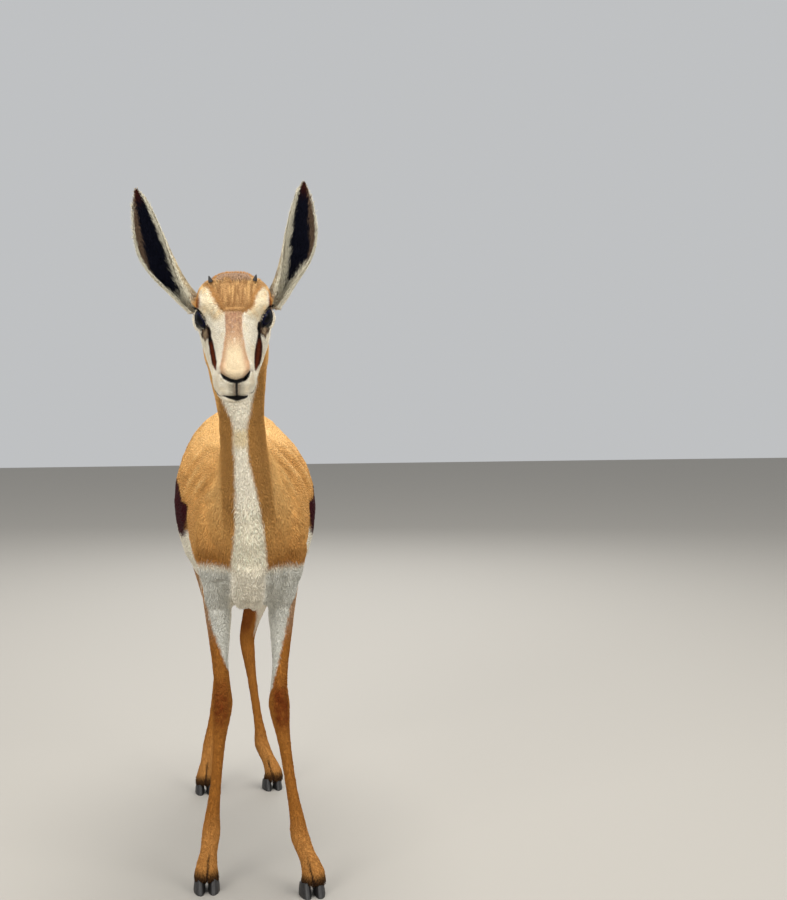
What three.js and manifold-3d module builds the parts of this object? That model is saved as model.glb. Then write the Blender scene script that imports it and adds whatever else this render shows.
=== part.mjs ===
// A young springbok, life size, standing on four feet and looking straight ahead.
// Millimetres. +X is the animal's left, -Y the way it faces, +Z up, and the floor is Z = 0.
// The body is drawn from a point on the floor between the forefeet. The last lines move it, so
// that the origin lies on the floor under the middle of the whole animal.

import * as THREE from "three";
import { mergeVertices } from "three/addons/utils/BufferGeometryUtils.js";
import Module from "manifold-3d";

const wasm = await Module();
wasm.setup();

// Sizes that drive the rest
const GAP = 0.3; // left between two parts that touch
const HEAD_LENGTH = 190; // back of the skull to the tip of the nose
const HEAD_PITCH = 28; // degrees that the head's own axis points below the horizon
const HEAD_TURN = -2.5; // degrees that the face turns, towards the animal's right
const HEAD_TILT = -2; // degrees that the crown leans, towards the animal's right
const HEAD_ROOT = new THREE.Vector3(-25, -81, 776); // back of the skull, where the head's axis starts
const EYE_RADIUS = 14;
const LID_THICKNESS = 2.2;
const EAR_WALL = { root: 3, thinning: 0.45, rimThinning: 0.55 }; // thinning to the tip and to the rims, as shares
const CLAW = { length: 41, width: 17.5, outer: 0.56, inner: 0.42, apart: 0.6, splay: 1, sides: 14, toeHeight: 19, heelHeight: 13, toeSlope: 0.62 };
const DEWCLAW = { apart: 6.5, radii: [3.4, 4.2, 6], lean: 28 };
const HIND_SCALE = 0.93; // a hind hoof beside a fore hoof
const TRUNK_SIDES = 26;
const HEAD_SIDES = 30;
const LIMB_SIDES = 12;

const COAT = { fawn: 0xc98a4b, white: 0xe9e2d2, brown: 0x9a5a26 };
const HORN = 0x1d1a1a;

const X_AXIS = new THREE.Vector3(1, 0, 0);
const radians = THREE.MathUtils.degToRad;

// Stations and rings

// The stations' values at s, on one smooth curve through them. s is 0 at the first and counts one for each.
function valuesAt(stations, s) {
  const last = stations.length - 1;
  const i = Math.min(Math.floor(s), last - 1);
  const f = s - i;
  const station = (k) => stations[THREE.MathUtils.clamp(k, 0, last)];
  const values = {};
  for (const key of Object.keys(stations[0])) {
    const [a, b, c, d] = [i - 1, i, i + 1, i + 2].map((k) => station(k)[key]);
    const slopeB = (c - a) / 2;
    const slopeC = (d - b) / 2;
    values[key] =
      b + slopeB * f + (3 * (c - b) - 2 * slopeB - slopeC) * f * f + (2 * (b - c) + slopeB + slopeC) * f * f * f;
  }
  return values;
}

// Values at even steps from station `from` to station `to`.
function valuesAlong(stations, stepsEach, from = 0, to = stations.length - 1) {
  const steps = Math.round((to - from) * stepsEach);
  return Array.from({ length: steps + 1 }, (_, i) => valuesAt(stations, from + ((to - from) * i) / steps));
}

// A closed ring round `centre`. It reaches half to each side, high and low along `up`, and is a plain
// ellipse where round is 2, flatter sided above 2 and more pointed below.
function ring(centre, side, up, { half, high, low, roundHigh = 2, roundLow = 2 }, sides) {
  return Array.from({ length: sides }, (_, i) => {
    const angle = (2 * Math.PI * i) / sides;
    const [c, s] = [Math.cos(angle), Math.sin(angle)];
    const power = 2 / (s > 0 ? roundHigh : roundLow);
    return centre
      .clone()
      .addScaledVector(side, half * Math.sign(c) * Math.abs(c) ** power)
      .addScaledVector(up, (s > 0 ? high : low) * Math.sign(s) * Math.abs(s) ** power);
  });
}

// A closed body through rings of equal length, with a flat cap at each end.
function loftOf(rings) {
  const sides = rings[0].length;
  const points = rings.flat();
  const middle = (r) => r.reduce((sum, p) => sum.add(p), new THREE.Vector3()).divideScalar(r.length);
  const firstCap = points.length;
  points.push(middle(rings[0]), middle(rings.at(-1)));
  const faces = [];
  for (let j = 0; j < sides; j++) {
    const k = (j + 1) % sides;
    for (let i = 0; i + 1 < rings.length; i++) {
      const [a, b, c, d] = [i * sides + j, i * sides + k, (i + 1) * sides + k, (i + 1) * sides + j];
      faces.push(a, b, c, a, c, d);
    }
    const end = (rings.length - 1) * sides;
    faces.push(firstCap, k, j, firstCap + 1, end + j, end + k);
  }
  const geometry = new THREE.BufferGeometry().setFromPoints(points);
  geometry.setIndex(faces);
  return solidOf(geometry);
}

// A three.js geometry as a solid that can be cut and joined, whichever way its faces turn.
function solidOf(geometry) {
  const bare = new THREE.BufferGeometry();
  bare.setAttribute("position", geometry.getAttribute("position"));
  if (geometry.index) bare.setIndex(geometry.index);
  const merged = mergeVertices(bare, 1e-4);
  const build = (triVerts) =>
    new wasm.Manifold(new wasm.Mesh({ numProp: 3, vertProperties: merged.attributes.position.array, triVerts }));
  const solid = build(new Uint32Array(merged.index.array));
  return solid.volume() > 0 ? solid : build(new Uint32Array([...merged.index.array].reverse()));
}

// Only the largest body of a solid that a cut has left in pieces.
function largest(solid) {
  return solid.decompose().reduce((best, piece) => (piece.volume() > best.volume() ? piece : best));
}

function ellipsoid(centre, radii, matrix = new THREE.Matrix4(), across = 20) {
  const geometry = new THREE.SphereGeometry(1, across, Math.round(across * 0.7));
  geometry.scale(...radii).applyMatrix4(matrix).translate(centre.x, centre.y, centre.z);
  return solidOf(geometry);
}

const meshes = [];
function addPart(name, solid, colour, roughness = 0.85) {
  const { vertProperties, triVerts } = largest(solid).getMesh();
  const geometry = new THREE.BufferGeometry();
  geometry.setAttribute("position", new THREE.BufferAttribute(vertProperties, 3));
  geometry.setIndex(new THREE.BufferAttribute(triVerts, 1));
  geometry.computeVertexNormals();
  const material = new THREE.MeshStandardMaterial({ color: colour, roughness, metalness: 0, flatShading: true });
  const mesh = new THREE.Mesh(geometry, material);
  mesh.name = name;
  meshes.push(mesh);
}

// Trunk and neck: one row of sections from the rump to the throat. lean turns a section's top from
// straight up (0) to straight back (90), as the spine turns up into the neck.
const TRUNK = [
  { x: -9, y: 487, z: 545, lean: -14, high: 22, low: 24, half: 18, roundHigh: 2, roundLow: 2 },
  { x: -9, y: 480, z: 541, lean: -12, high: 50, low: 56, half: 44, roundHigh: 2, roundLow: 2 },
  { x: -9, y: 462, z: 533, lean: -9, high: 80, low: 84, half: 66, roundHigh: 2, roundLow: 2 },
  { x: -9, y: 428, z: 525, lean: -5, high: 102, low: 100, half: 82, roundHigh: 2, roundLow: 2 },
  { x: -9, y: 380, z: 519, lean: -2, high: 113, low: 103, half: 89, roundHigh: 2, roundLow: 2 },
  { x: -8, y: 320, z: 512, lean: 0, high: 115, low: 104, half: 95, roundHigh: 2.1, roundLow: 2 },
  { x: -6, y: 260, z: 505, lean: 0, high: 113, low: 114, half: 101, roundHigh: 2.15, roundLow: 2.1 },
  { x: -5, y: 200, z: 500, lean: 0, high: 113, low: 124, half: 102, roundHigh: 2.15, roundLow: 2.1 },
  { x: -4, y: 140, z: 497, lean: 0, high: 117, low: 126, half: 96, roundHigh: 2, roundLow: 2.1 },
  { x: -4, y: 85, z: 496, lean: 2, high: 122, low: 123, half: 83, roundHigh: 1.8, roundLow: 2 },
  { x: -5, y: 35, z: 498, lean: 8, high: 121, low: 116, half: 70, roundHigh: 1.75, roundLow: 2 },
  { x: -6, y: -8, z: 510, lean: 22, high: 106, low: 108, half: 57, roundHigh: 1.8, roundLow: 1.9 },
  { x: -9, y: -34, z: 545, lean: 42, high: 77, low: 86, half: 45, roundHigh: 1.9, roundLow: 1.9 },
  { x: -14, y: -50, z: 592, lean: 62, high: 54, low: 58, half: 35, roundHigh: 2, roundLow: 2 },
  { x: -18, y: -60, z: 640, lean: 73, high: 42, low: 42, half: 30, roundHigh: 2, roundLow: 2 },
  { x: -22, y: -70, z: 690, lean: 75, high: 38, low: 38, half: 36.5, roundHigh: 2, roundLow: 2 },
  { x: -25, y: -80, z: 732, lean: 70, high: 34, low: 37, half: 41, roundHigh: 2, roundLow: 2 },
  { x: -26, y: -90, z: 764, lean: 60, high: 30, low: 34, half: 37, roundHigh: 2, roundLow: 2 },
  { x: -26, y: -100, z: 785, lean: 50, high: 25, low: 26, half: 29, roundHigh: 2, roundLow: 2 },
];
const NECK_STATION = 12; // the neck starts at this station of the trunk

function trunkRing(values, shift, grow) {
  const up = new THREE.Vector3(0, Math.sin(radians(values.lean)), Math.cos(radians(values.lean)));
  const centre = new THREE.Vector3(values.x, values.y, values.z);
  centre.addScaledVector(X_AXIS.clone().cross(up), shift);
  const grown = { half: values.half + grow, high: values.high + grow, low: values.low + grow };
  return ring(centre, X_AXIS, up, { ...values, ...grown }, TRUNK_SIDES);
}

// The trunk from one station to another, moved along itself by `shift` and made `grow` thicker.
function trunkLoft(from, to, shift = 0, grow = 0) {
  return loftOf(valuesAlong(TRUNK, 2, from, to).map((v) => trunkRing(v, shift, grow)));
}

// The head, drawn in its own frame: u runs from the back of the skull to the nose, v up, w to its left.
const headFrame = new THREE.Matrix4()
  .makeRotationFromEuler(new THREE.Euler(radians(HEAD_PITCH), radians(HEAD_TILT), radians(HEAD_TURN), "ZXY"))
  .setPosition(HEAD_ROOT);
const inHead = (u, v, w) => new THREE.Vector3(w, -u, v).applyMatrix4(headFrame);
const headWay = (u, v, w) => new THREE.Vector3(w, -u, v).transformDirection(headFrame);

// Sections of the head. level is the height of the widest line.
const HEAD = [
  { u: -13, top: 26, level: 8, bottom: -8, half: 15, roundHigh: 2, roundLow: 2 },
  { u: -6, top: 42, level: 12, bottom: -24, half: 31, roundHigh: 2.1, roundLow: 2 },
  { u: 8, top: 54, level: 20, bottom: -38, half: 41, roundHigh: 2.3, roundLow: 2.2 },
  { u: 26, top: 61, level: 24, bottom: -47, half: 44.5, roundHigh: 2.5, roundLow: 2.4 },
  { u: 44, top: 62, level: 24, bottom: -51, half: 45, roundHigh: 2.6, roundLow: 2.5 },
  { u: 60, top: 58.5, level: 22, bottom: -50, half: 43.5, roundHigh: 2.6, roundLow: 2.6 },
  { u: 75, top: 52.5, level: 17, bottom: -47.5, half: 41, roundHigh: 2.4, roundLow: 2.5 },
  { u: 90, top: 46, level: 8, bottom: -44.5, half: 37.5, roundHigh: 2, roundLow: 2.4 },
  { u: 105, top: 40, level: 0, bottom: -41.5, half: 34, roundHigh: 1.75, roundLow: 2.3 },
  { u: 120, top: 34.5, level: -5, bottom: -38.5, half: 30.5, roundHigh: 1.65, roundLow: 2.3 },
  { u: 136, top: 30, level: -8, bottom: -36, half: 27.5, roundHigh: 1.65, roundLow: 2.3 },
  { u: 152, top: 26.5, level: -8, bottom: -34, half: 25.5, roundHigh: 1.8, roundLow: 2.3 },
  { u: 166, top: 24, level: -7, bottom: -32.5, half: 24, roundHigh: 2, roundLow: 2.2 },
  { u: 177, top: 21, level: -4, bottom: -28, half: 21.5, roundHigh: 2.2, roundLow: 2.1 },
  { u: 185, top: 16.5, level: 0, bottom: -19, half: 17.5, roundHigh: 2.3, roundLow: 2 },
  { u: HEAD_LENGTH, top: 10, level: 3, bottom: -8, half: 9, roundHigh: 2, roundLow: 2 },
];

function headLoft(grow) {
  const rings = valuesAlong(HEAD, 2).map((v) =>
    ring(
      inHead(v.u, v.level, 0),
      headWay(0, 0, 1),
      headWay(0, 1, 0),
      {
        half: Math.max(v.half + grow, 0.5),
        high: Math.max(v.top - v.level + grow, 0.5),
        low: Math.max(v.level - v.bottom + grow, 0.5),
        roundHigh: v.roundHigh,
        roundLow: v.roundLow,
      },
      HEAD_SIDES,
    ),
  );
  return loftOf(rings);
}

// Eyes look out to the side, a little forward and up.
const EYE = { u: 71, v: 23, w: 32.5, forward: 42, rise: 8 };
const EYE_OPENING = { long: 27, tall: 18, slant: 38 }; // slant drops the inner corner, degrees

function eyeCentre(sign) {
  return inHead(EYE.u, EYE.v, sign * EYE.w);
}

// Columns: along the opening, across it, and the way the eye looks.
function eyeMatrix(sign) {
  const look = new THREE.Vector3(sign * Math.cos(radians(EYE.forward)), -Math.sin(radians(EYE.forward)), 0);
  look.z = Math.sin(radians(EYE.rise));
  look.normalize();
  const long = new THREE.Vector3(0, 0, 1).cross(look).multiplyScalar(sign).normalize();
  const tall = look.clone().cross(long).multiplyScalar(sign);
  const slanted = long.clone().applyAxisAngle(look, sign * radians(EYE_OPENING.slant));
  const across = tall.clone().applyAxisAngle(look, sign * radians(EYE_OPENING.slant));
  return new THREE.Matrix4().makeBasis(slanted, across, look).premultiply(headFrame).setPosition(0, 0, 0);
}

// The almond between the lids, as a rod along the way the eye looks.
function eyeOpening(sign) {
  const { long, tall } = EYE_OPENING;
  const bulge = tall * 0.68;
  const almond = new THREE.Shape();
  almond.moveTo(-long / 2, 0);
  almond.quadraticCurveTo(-long * 0.28, bulge, 0, tall / 2 + 1);
  almond.quadraticCurveTo(long * 0.34, bulge * 0.82, long / 2, -1);
  almond.quadraticCurveTo(long * 0.22, -bulge * 0.78, 0, -tall / 2);
  almond.quadraticCurveTo(-long * 0.32, -bulge * 0.8, -long / 2, 0);
  const rod = new THREE.ExtrudeGeometry(almond, { depth: 30, bevelEnabled: false, curveSegments: 4 });
  const centre = eyeCentre(sign);
  rod.applyMatrix4(eyeMatrix(sign)).translate(centre.x, centre.y, centre.z);
  return solidOf(rod);
}

// The mouth is a groove round the muzzle. Its line rises a little towards the corners.
const MOUTH = { corner: 152, cornerHeight: -16, frontHeight: -19, sag: 3, width: 1.5, depth: 3 };

function mouthSlit() {
  const line = new THREE.Shape();
  const [back, front] = [MOUTH.corner, HEAD_LENGTH + 5]; // past the nose, so that the cut runs out
  const bend = (back + front) / 2;
  const low = MOUTH.frontHeight - MOUTH.sag;
  line.moveTo(back, MOUTH.cornerHeight);
  line.quadraticCurveTo(bend, low, front, MOUTH.frontHeight);
  line.lineTo(front, MOUTH.frontHeight + MOUTH.width);
  line.quadraticCurveTo(bend, low + MOUTH.width, back, MOUTH.cornerHeight + 0.4);
  const across = 60; // wider than the muzzle
  const slab = new THREE.ExtrudeGeometry(line, { depth: across, bevelEnabled: false, curveSegments: 6 });
  slab.translate(0, 0, -across / 2);
  slab.applyMatrix4(new THREE.Matrix4().makeBasis(headWay(1, 0, 0), headWay(0, 1, 0), headWay(0, 0, 1)));
  slab.translate(HEAD_ROOT.x, HEAD_ROOT.y, HEAD_ROOT.z);
  return solidOf(slab);
}

// Each nostril is a slanting comma cut into the side of the nose.
const NOSTRIL = { u: 183.5, v: 5, w: 12.5, radii: [5.5, 4.5, 2.6], slant: 30 };

function nostril(sign) {
  const turned = headFrame
    .clone()
    .multiply(new THREE.Matrix4().makeRotationY(sign * radians(-NOSTRIL.slant)))
    .setPosition(0, 0, 0);
  return ellipsoid(inHead(NOSTRIL.u, NOSTRIL.v, sign * NOSTRIL.w), NOSTRIL.radii, turned, 12);
}

function buildHead() {
  let head = headLoft(0);
  for (const sign of [1, -1]) {
    head = head.add(ellipsoid(eyeCentre(sign), Array(3).fill(EYE_RADIUS + LID_THICKNESS), undefined, 18));
  }
  for (const sign of [1, -1]) {
    head = head
      .subtract(eyeOpening(sign))
      .subtract(ellipsoid(eyeCentre(sign), Array(3).fill(EYE_RADIUS + GAP), undefined, 16))
      .subtract(nostril(sign));
  }
  return head.subtract(mouthSlit().subtract(headLoft(-MOUTH.depth)));
}

// Ears: a rolled cup at the root that opens into a long leaf. arc is half the roll, in degrees.
const EAR = [
  { at: 0, radius: 12, arc: 168 },
  { at: 0.1, radius: 12.8, arc: 158 },
  { at: 0.2, radius: 13.5, arc: 142 },
  { at: 0.3, radius: 15.2, arc: 124 },
  { at: 0.42, radius: 18.2, arc: 106 },
  { at: 0.54, radius: 20.2, arc: 92 },
  { at: 0.65, radius: 20, arc: 80 },
  { at: 0.76, radius: 18, arc: 68 },
  { at: 0.86, radius: 15, arc: 56 },
  { at: 0.94, radius: 11, arc: 45 },
  { at: 1, radius: 4.5, arc: 30 },
];
const EAR_POINTS = 11; // across one face of the leaf
const EAR_RIM = 0.985; // how far round the inner face reaches, beside the outer one
// lean tips the ear out from upright, back tips it backwards, and open turns the cup out from straight ahead.
const EARS = {
  left: { sign: 1, root: inHead(6, 3, 42), length: 160, lean: 16, back: 4, open: 12, bow: 13 },
  right: { sign: -1, root: inHead(6, 3, -43), length: 164, lean: 27.5, back: 4, open: 22, bow: 14 },
};

function earLoft({ sign, root, length, lean, back, open, bow }) {
  const along = new THREE.Vector3(sign * Math.sin(radians(lean)), Math.sin(radians(back)), Math.cos(radians(lean)));
  along.normalize();
  const outward = new THREE.Vector3(sign * Math.cos(radians(open)), Math.sin(radians(open)), 0);
  outward.addScaledVector(along, -outward.dot(along)).normalize();
  const rear = outward.clone().cross(along).multiplyScalar(-sign).normalize();
  if (rear.y < 0) rear.negate();
  const rings = valuesAlong(EAR, 2).map(({ at, radius, arc }) => {
    const bowed = bow * Math.sin(Math.PI * at);
    const centre = root.clone().addScaledVector(along, at * length).addScaledVector(outward, bowed);
    const arcPoint = (r, share) =>
      centre
        .clone()
        .addScaledVector(outward, r * Math.sin(radians(arc) * share))
        .addScaledVector(rear, r * Math.cos(radians(arc) * share) - radius * 0.5);
    const wall = EAR_WALL.root * (1 - EAR_WALL.thinning * at);
    const shares = Array.from({ length: EAR_POINTS }, (_, i) => (2 * i) / (EAR_POINTS - 1) - 1);
    const outer = shares.map((share) => arcPoint(radius, share));
    const wallAt = (share) => wall * (1 - EAR_WALL.rimThinning * Math.abs(share));
    const inner = shares.reverse().map((share) => arcPoint(radius - wallAt(share), share * EAR_RIM));
    return [...outer, ...inner];
  });
  return loftOf(rings);
}

// Horn buds: dark nubs that have just come through the coat of the crown.
const HORN_BUD = { u: 36, v: 55, w: 25, height: 11, radius: 3.6 };

function hornBud(sign) {
  const foot = inHead(HORN_BUD.u, HORN_BUD.v, sign * HORN_BUD.w);
  const way = headWay(-0.25, 1, sign * 0.3).normalize();
  const side = X_AXIS.clone().addScaledVector(way, -way.x).normalize();
  const up = way.clone().cross(side);
  const rings = [0, 0.35, 0.7, 0.9, 1].map((t) => {
    const r = HORN_BUD.radius * (1 - 0.88 * t ** 1.6);
    return ring(foot.clone().addScaledVector(way, t * HORN_BUD.height), side, up, { half: r, high: r, low: r }, 10);
  });
  return loftOf(rings);
}

// Limbs: rings square to a smooth line through the stations. front and rear reach fore and aft of
// it, and half to each side.
function limbLoft(stations, stepsEach = 2, grow = 0) {
  const line = new THREE.CatmullRomCurve3(stations.map((s) => new THREE.Vector3(s.x, s.y, s.z)));
  const rings = valuesAlong(stations, stepsEach).map((v, i, all) => {
    const tangent = line.getTangent(i / (all.length - 1));
    const side = X_AXIS.clone().addScaledVector(tangent, -tangent.x).normalize();
    const fore = tangent.clone().cross(side).normalize();
    const size = { half: v.half + grow, high: v.front + grow, low: v.rear + grow };
    const pastEnd = i === 0 ? -grow : i === all.length - 1 ? grow : 0;
    const centre = new THREE.Vector3(v.x, v.y, v.z).addScaledVector(tangent, pastEnd);
    return ring(centre, side, fore, size, LIMB_SIDES);
  });
  return loftOf(rings);
}

// Where each leg's joints lie across the animal, and how far back its toe stands. turn points the toe out.
const FORELEGS = {
  left: { sign: 1, shoulder: 45, elbow: 36, carpus: 31, fetlock: 57, foot: 74, toeY: -26, turn: 5 },
  right: { sign: -1, shoulder: -54, elbow: -48, carpus: -44, fetlock: -60, foot: -67, toeY: 6, turn: 0 },
};
const HINDLEGS = {
  left: { sign: 1, stifle: 48, gaskin: 10, hock: 6, fetlock: 28, foot: 46, toeY: 428, turn: 6 },
  right: { sign: -1, stifle: -60, gaskin: -40, hock: -35, fetlock: -57, foot: -65, toeY: 421, turn: 0 },
};
// Each leg is parted at these heights into the lengths that are named here from the top down.
const FORELEG_PARTS = { names: ["shoulder", "forearm", "cannon"], cuts: [386, 256] };
const HINDLEG_PARTS = { names: ["thigh", "gaskin", "cannon"], cuts: [392, 240] };

const mix = THREE.MathUtils.lerp;

function foreleg({ shoulder, elbow, carpus, fetlock, foot, toeY }) {
  const carpusY = 22 + (toeY + 10) / 2;
  const fetlockY = toeY + 37;
  const shin = (t) => ({ x: mix(carpus, fetlock, t), y: mix(carpusY, fetlockY, t) });
  return [
    { x: shoulder * 0.6, y: 78, z: 592, front: 12, rear: 14, half: 6 },
    { x: shoulder * 0.76, y: 66, z: 560, front: 30, rear: 32, half: 16 },
    { x: shoulder * 0.92, y: 42, z: 510, front: 46, rear: 48, half: 24 },
    { x: shoulder, y: 20, z: 462, front: 52, rear: 52, half: 26 },
    { x: mix(shoulder, elbow, 0.6), y: 24, z: 422, front: 42, rear: 50, half: 21.5 },
    { x: elbow, y: 32, z: 388, front: 27, rear: 38, half: 20.5 },
    { x: elbow * 0.98, y: 32, z: 350, front: 21, rear: 24, half: 16.5 },
    { x: mix(elbow, carpus, 0.5), y: mix(32, carpusY, 0.5), z: 312, front: 15.5, rear: 16, half: 12.4 },
    { x: carpus, y: carpusY, z: 280, front: 14, rear: 14, half: 12.4 },
    { x: carpus, y: carpusY, z: 256, front: 15.5, rear: 17.5, half: 15.2 },
    { ...shin(0.1), z: 230, front: 12.5, rear: 15, half: 12 },
    { ...shin(0.28), z: 198, front: 9.6, rear: 11.5, half: 8.6 },
    { ...shin(0.6), z: 140, front: 9, rear: 11.5, half: 7.8 },
    { ...shin(0.88), z: 98, front: 11, rear: 14, half: 10.4 },
    { x: fetlock, y: fetlockY, z: 75, front: 12.5, rear: 16.5, half: 13 },
    { x: mix(fetlock, foot, 0.55), y: toeY + 30, z: 50, front: 11.5, rear: 13, half: 12 },
    { x: foot, y: toeY + 26, z: 28, front: 15, rear: 15, half: 15.8 },
    { x: foot, y: toeY + 23, z: 13, front: 14.5, rear: 14, half: 16.2 },
  ];
}

function hindleg({ sign, stifle, gaskin, hock, fetlock, foot, toeY }) {
  const fetlockY = toeY + 34;
  const shin = (t) => ({ x: mix(hock, fetlock, t), y: mix(478, fetlockY, t) });
  return [
    { x: sign * 32 - 8, y: 410, z: 590, front: 18, rear: 16, half: 8 },
    { x: sign * 44 - 8, y: 408, z: 560, front: 44, rear: 44, half: 22 },
    { x: sign * 53 - 8, y: 404, z: 505, front: 68, rear: 70, half: 32 },
    { x: sign * 56 - 8, y: 398, z: 450, front: 66, rear: 68, half: 31 },
    { x: stifle, y: 392, z: 405, front: 52, rear: 56, half: 28 },
    { x: mix(stifle, gaskin, 0.35), y: 400, z: 362, front: 36, rear: 42, half: 24 },
    { x: mix(stifle, gaskin, 0.75), y: 424, z: 315, front: 24, rear: 30, half: 19.5 },
    { x: gaskin, y: 454, z: 274, front: 15, rear: 24, half: 15 },
    { x: hock, y: 474, z: 246, front: 14, rear: 24, half: 13 },
    { ...shin(0.08), z: 222, front: 12.5, rear: 16, half: 11.5 },
    { ...shin(0.32), z: 180, front: 9, rear: 11, half: 8 },
    { ...shin(0.7), z: 118, front: 8.5, rear: 11, half: 7.4 },
    { ...shin(0.9), z: 90, front: 10.5, rear: 13.5, half: 9.8 },
    { x: fetlock, y: fetlockY, z: 70, front: 12, rear: 16, half: 12.2 },
    { x: mix(fetlock, foot, 0.55), y: toeY + 28, z: 47, front: 11, rear: 12.5, half: 11.2 },
    { x: foot, y: toeY + 24, z: 26, front: 14, rear: 14, half: 14.6 },
    { x: foot, y: toeY + 21, z: 12, front: 13.5, rear: 13, half: 15 },
  ];
}

// One claw of a cloven hoof, on a flat sole: a sloping outer wall and an upright inner one, which meet at the toe.
function claw(foot, toeY, side, turn, scale) {
  const rings = [0, 0.45, 1].map((rise) => {
    const narrow = 1 - 0.22 * rise ** 1.5;
    const outline = Array.from({ length: CLAW.sides }, (_, i) => {
      const angle = (2 * Math.PI * i) / CLAW.sides;
      const back = (1 - Math.cos(angle)) / 2; // 0 at the toe, 1 at the heel
      const height = rise * mix(CLAW.toeHeight, CLAW.heelHeight, back);
      const bulge = Math.sin(angle) * mix(0.84, 1, Math.min(1, back * 1.6));
      const across = bulge * (Math.sign(bulge) === side ? CLAW.outer : CLAW.inner) * CLAW.width * narrow;
      const setback = back * CLAW.length * (1 - 0.12 * rise) + height * CLAW.toeSlope * (1 - 0.45 * back);
      return new THREE.Vector3(side * (CLAW.width * CLAW.inner + CLAW.apart) + across, setback, height);
    });
    return outline.map((p) => {
      p.multiplyScalar(scale).applyAxisAngle(new THREE.Vector3(0, 0, 1), radians(turn - side * CLAW.splay));
      return p.add(new THREE.Vector3(foot, toeY, 0));
    });
  });
  return loftOf(rings);
}

function dewclaw({ x, y, z, rear }, side, scale) {
  return ellipsoid(
    new THREE.Vector3(x + side * DEWCLAW.apart * scale, y + rear, z),
    DEWCLAW.radii.map((radius) => radius * scale),
    new THREE.Matrix4().makeRotationX(radians(DEWCLAW.lean)),
    10,
  );
}

// The tail hangs close against the rump and ends in a tuft of long locks.
const TAIL = [
  { x: -9, y: 462, z: 592, front: 13, rear: 13, half: 13 },
  { x: -9, y: 482, z: 584, front: 11, rear: 11, half: 12 },
  { x: -9, y: 496, z: 562, front: 9, rear: 9, half: 10 },
  { x: -8, y: 502, z: 530, front: 7.5, rear: 7.5, half: 8.5 },
  { x: -7, y: 504, z: 494, front: 6, rear: 6, half: 7 },
  { x: -6, y: 505, z: 460, front: 4.5, rear: 4.5, half: 5.5 },
];
const TUFT = { locks: 8, length: 66, width: 8, thick: 3, seed: 7 };

// Numbers from 0 to 1 that are the same on every run.
function seededDraw(seed) {
  let state = seed;
  return () => {
    state = (state * 16807) % 2147483647;
    return state / 2147483647;
  };
}

// A flat lock that bends and tapers from `root`, along `way`, to its tip.
function lock(root, way, bend, length, width, thick, turn) {
  const steps = [0, 0.3, 0.6, 0.85, 1];
  const rings = steps.map((t) => {
    const centre = root.clone().addScaledVector(way, length * t).addScaledVector(bend, length * 0.06 * t * t);
    const side = new THREE.Vector3(Math.cos(turn), Math.sin(turn), 0);
    const face = side.clone().cross(way).normalize();
    const taper = t < 0.3 ? 0.7 + t : 1 - ((t - 0.3) / 0.7) ** 1.5 * 0.92;
    const size = { half: (width * taper) / 2, high: (thick * taper) / 2, low: (thick * taper) / 2 };
    return ring(centre, side, face, size, 6);
  });
  return loftOf(rings);
}

function buildTail() {
  let tail = limbLoft(TAIL, 2);
  const draw = seededDraw(TUFT.seed);
  const end = TAIL.at(-1);
  for (let i = 0; i < TUFT.locks; i++) {
    const turn = (2 * Math.PI * i) / TUFT.locks + draw() * 0.4;
    const outward = new THREE.Vector3(Math.cos(turn), Math.sin(turn), 0);
    const rise = 6 + 34 * (i / TUFT.locks);
    const root = new THREE.Vector3(end.x, end.y, end.z + rise).addScaledVector(outward, 1.5);
    const way = new THREE.Vector3(0, 0, -1).addScaledVector(outward, 0.05 + 0.09 * draw()).normalize();
    const length = TUFT.length * (0.8 + 0.35 * draw());
    tail = tail.add(lock(root, way, outward, length, TUFT.width, TUFT.thick, turn + Math.PI / 2));
  }
  return tail;
}

// Everything is cut clear of what it meets, so that two parts never share a place.
const head = buildHead();
const headClear = headLoft(GAP);
const ears = Object.fromEntries(Object.entries(EARS).map(([name, ear]) => [name, earLoft(ear)]));
const neck = trunkLoft(NECK_STATION, TRUNK.length - 1, GAP).subtract(headClear);
let torso = trunkLoft(0, NECK_STATION);

addPart("head", head, COAT.white);
addPart("neck", neck, COAT.fawn);
for (const [name, ear] of Object.entries(ears)) addPart(`ear_${name}`, ear.subtract(headClear), COAT.white);
for (const [name, { sign }] of Object.entries(EARS)) {
  addPart(`eye_${name}`, ellipsoid(eyeCentre(sign), Array(3).fill(EYE_RADIUS), undefined, 16), HORN, 0.1);
  addPart(`horn_bud_${name}`, hornBud(sign).subtract(headClear), HORN, 0.5);
}

const tail = buildTail();
for (const [name, leg] of Object.entries(FORELEGS)) {
  torso = torso.subtract(limbLoft(foreleg(leg), 2, GAP));
  addLeg(`foreleg_${name}`, foreleg(leg), FORELEG_PARTS, leg, 1);
}
for (const [name, leg] of Object.entries(HINDLEGS)) {
  torso = torso.subtract(limbLoft(hindleg(leg), 2, GAP));
  addLeg(`hindleg_${name}`, hindleg(leg), HINDLEG_PARTS, leg, HIND_SCALE);
}
addPart("torso", torso, COAT.fawn);
addPart("tail", tail.subtract(trunkLoft(0, NECK_STATION, 0, GAP)), COAT.white);

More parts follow.
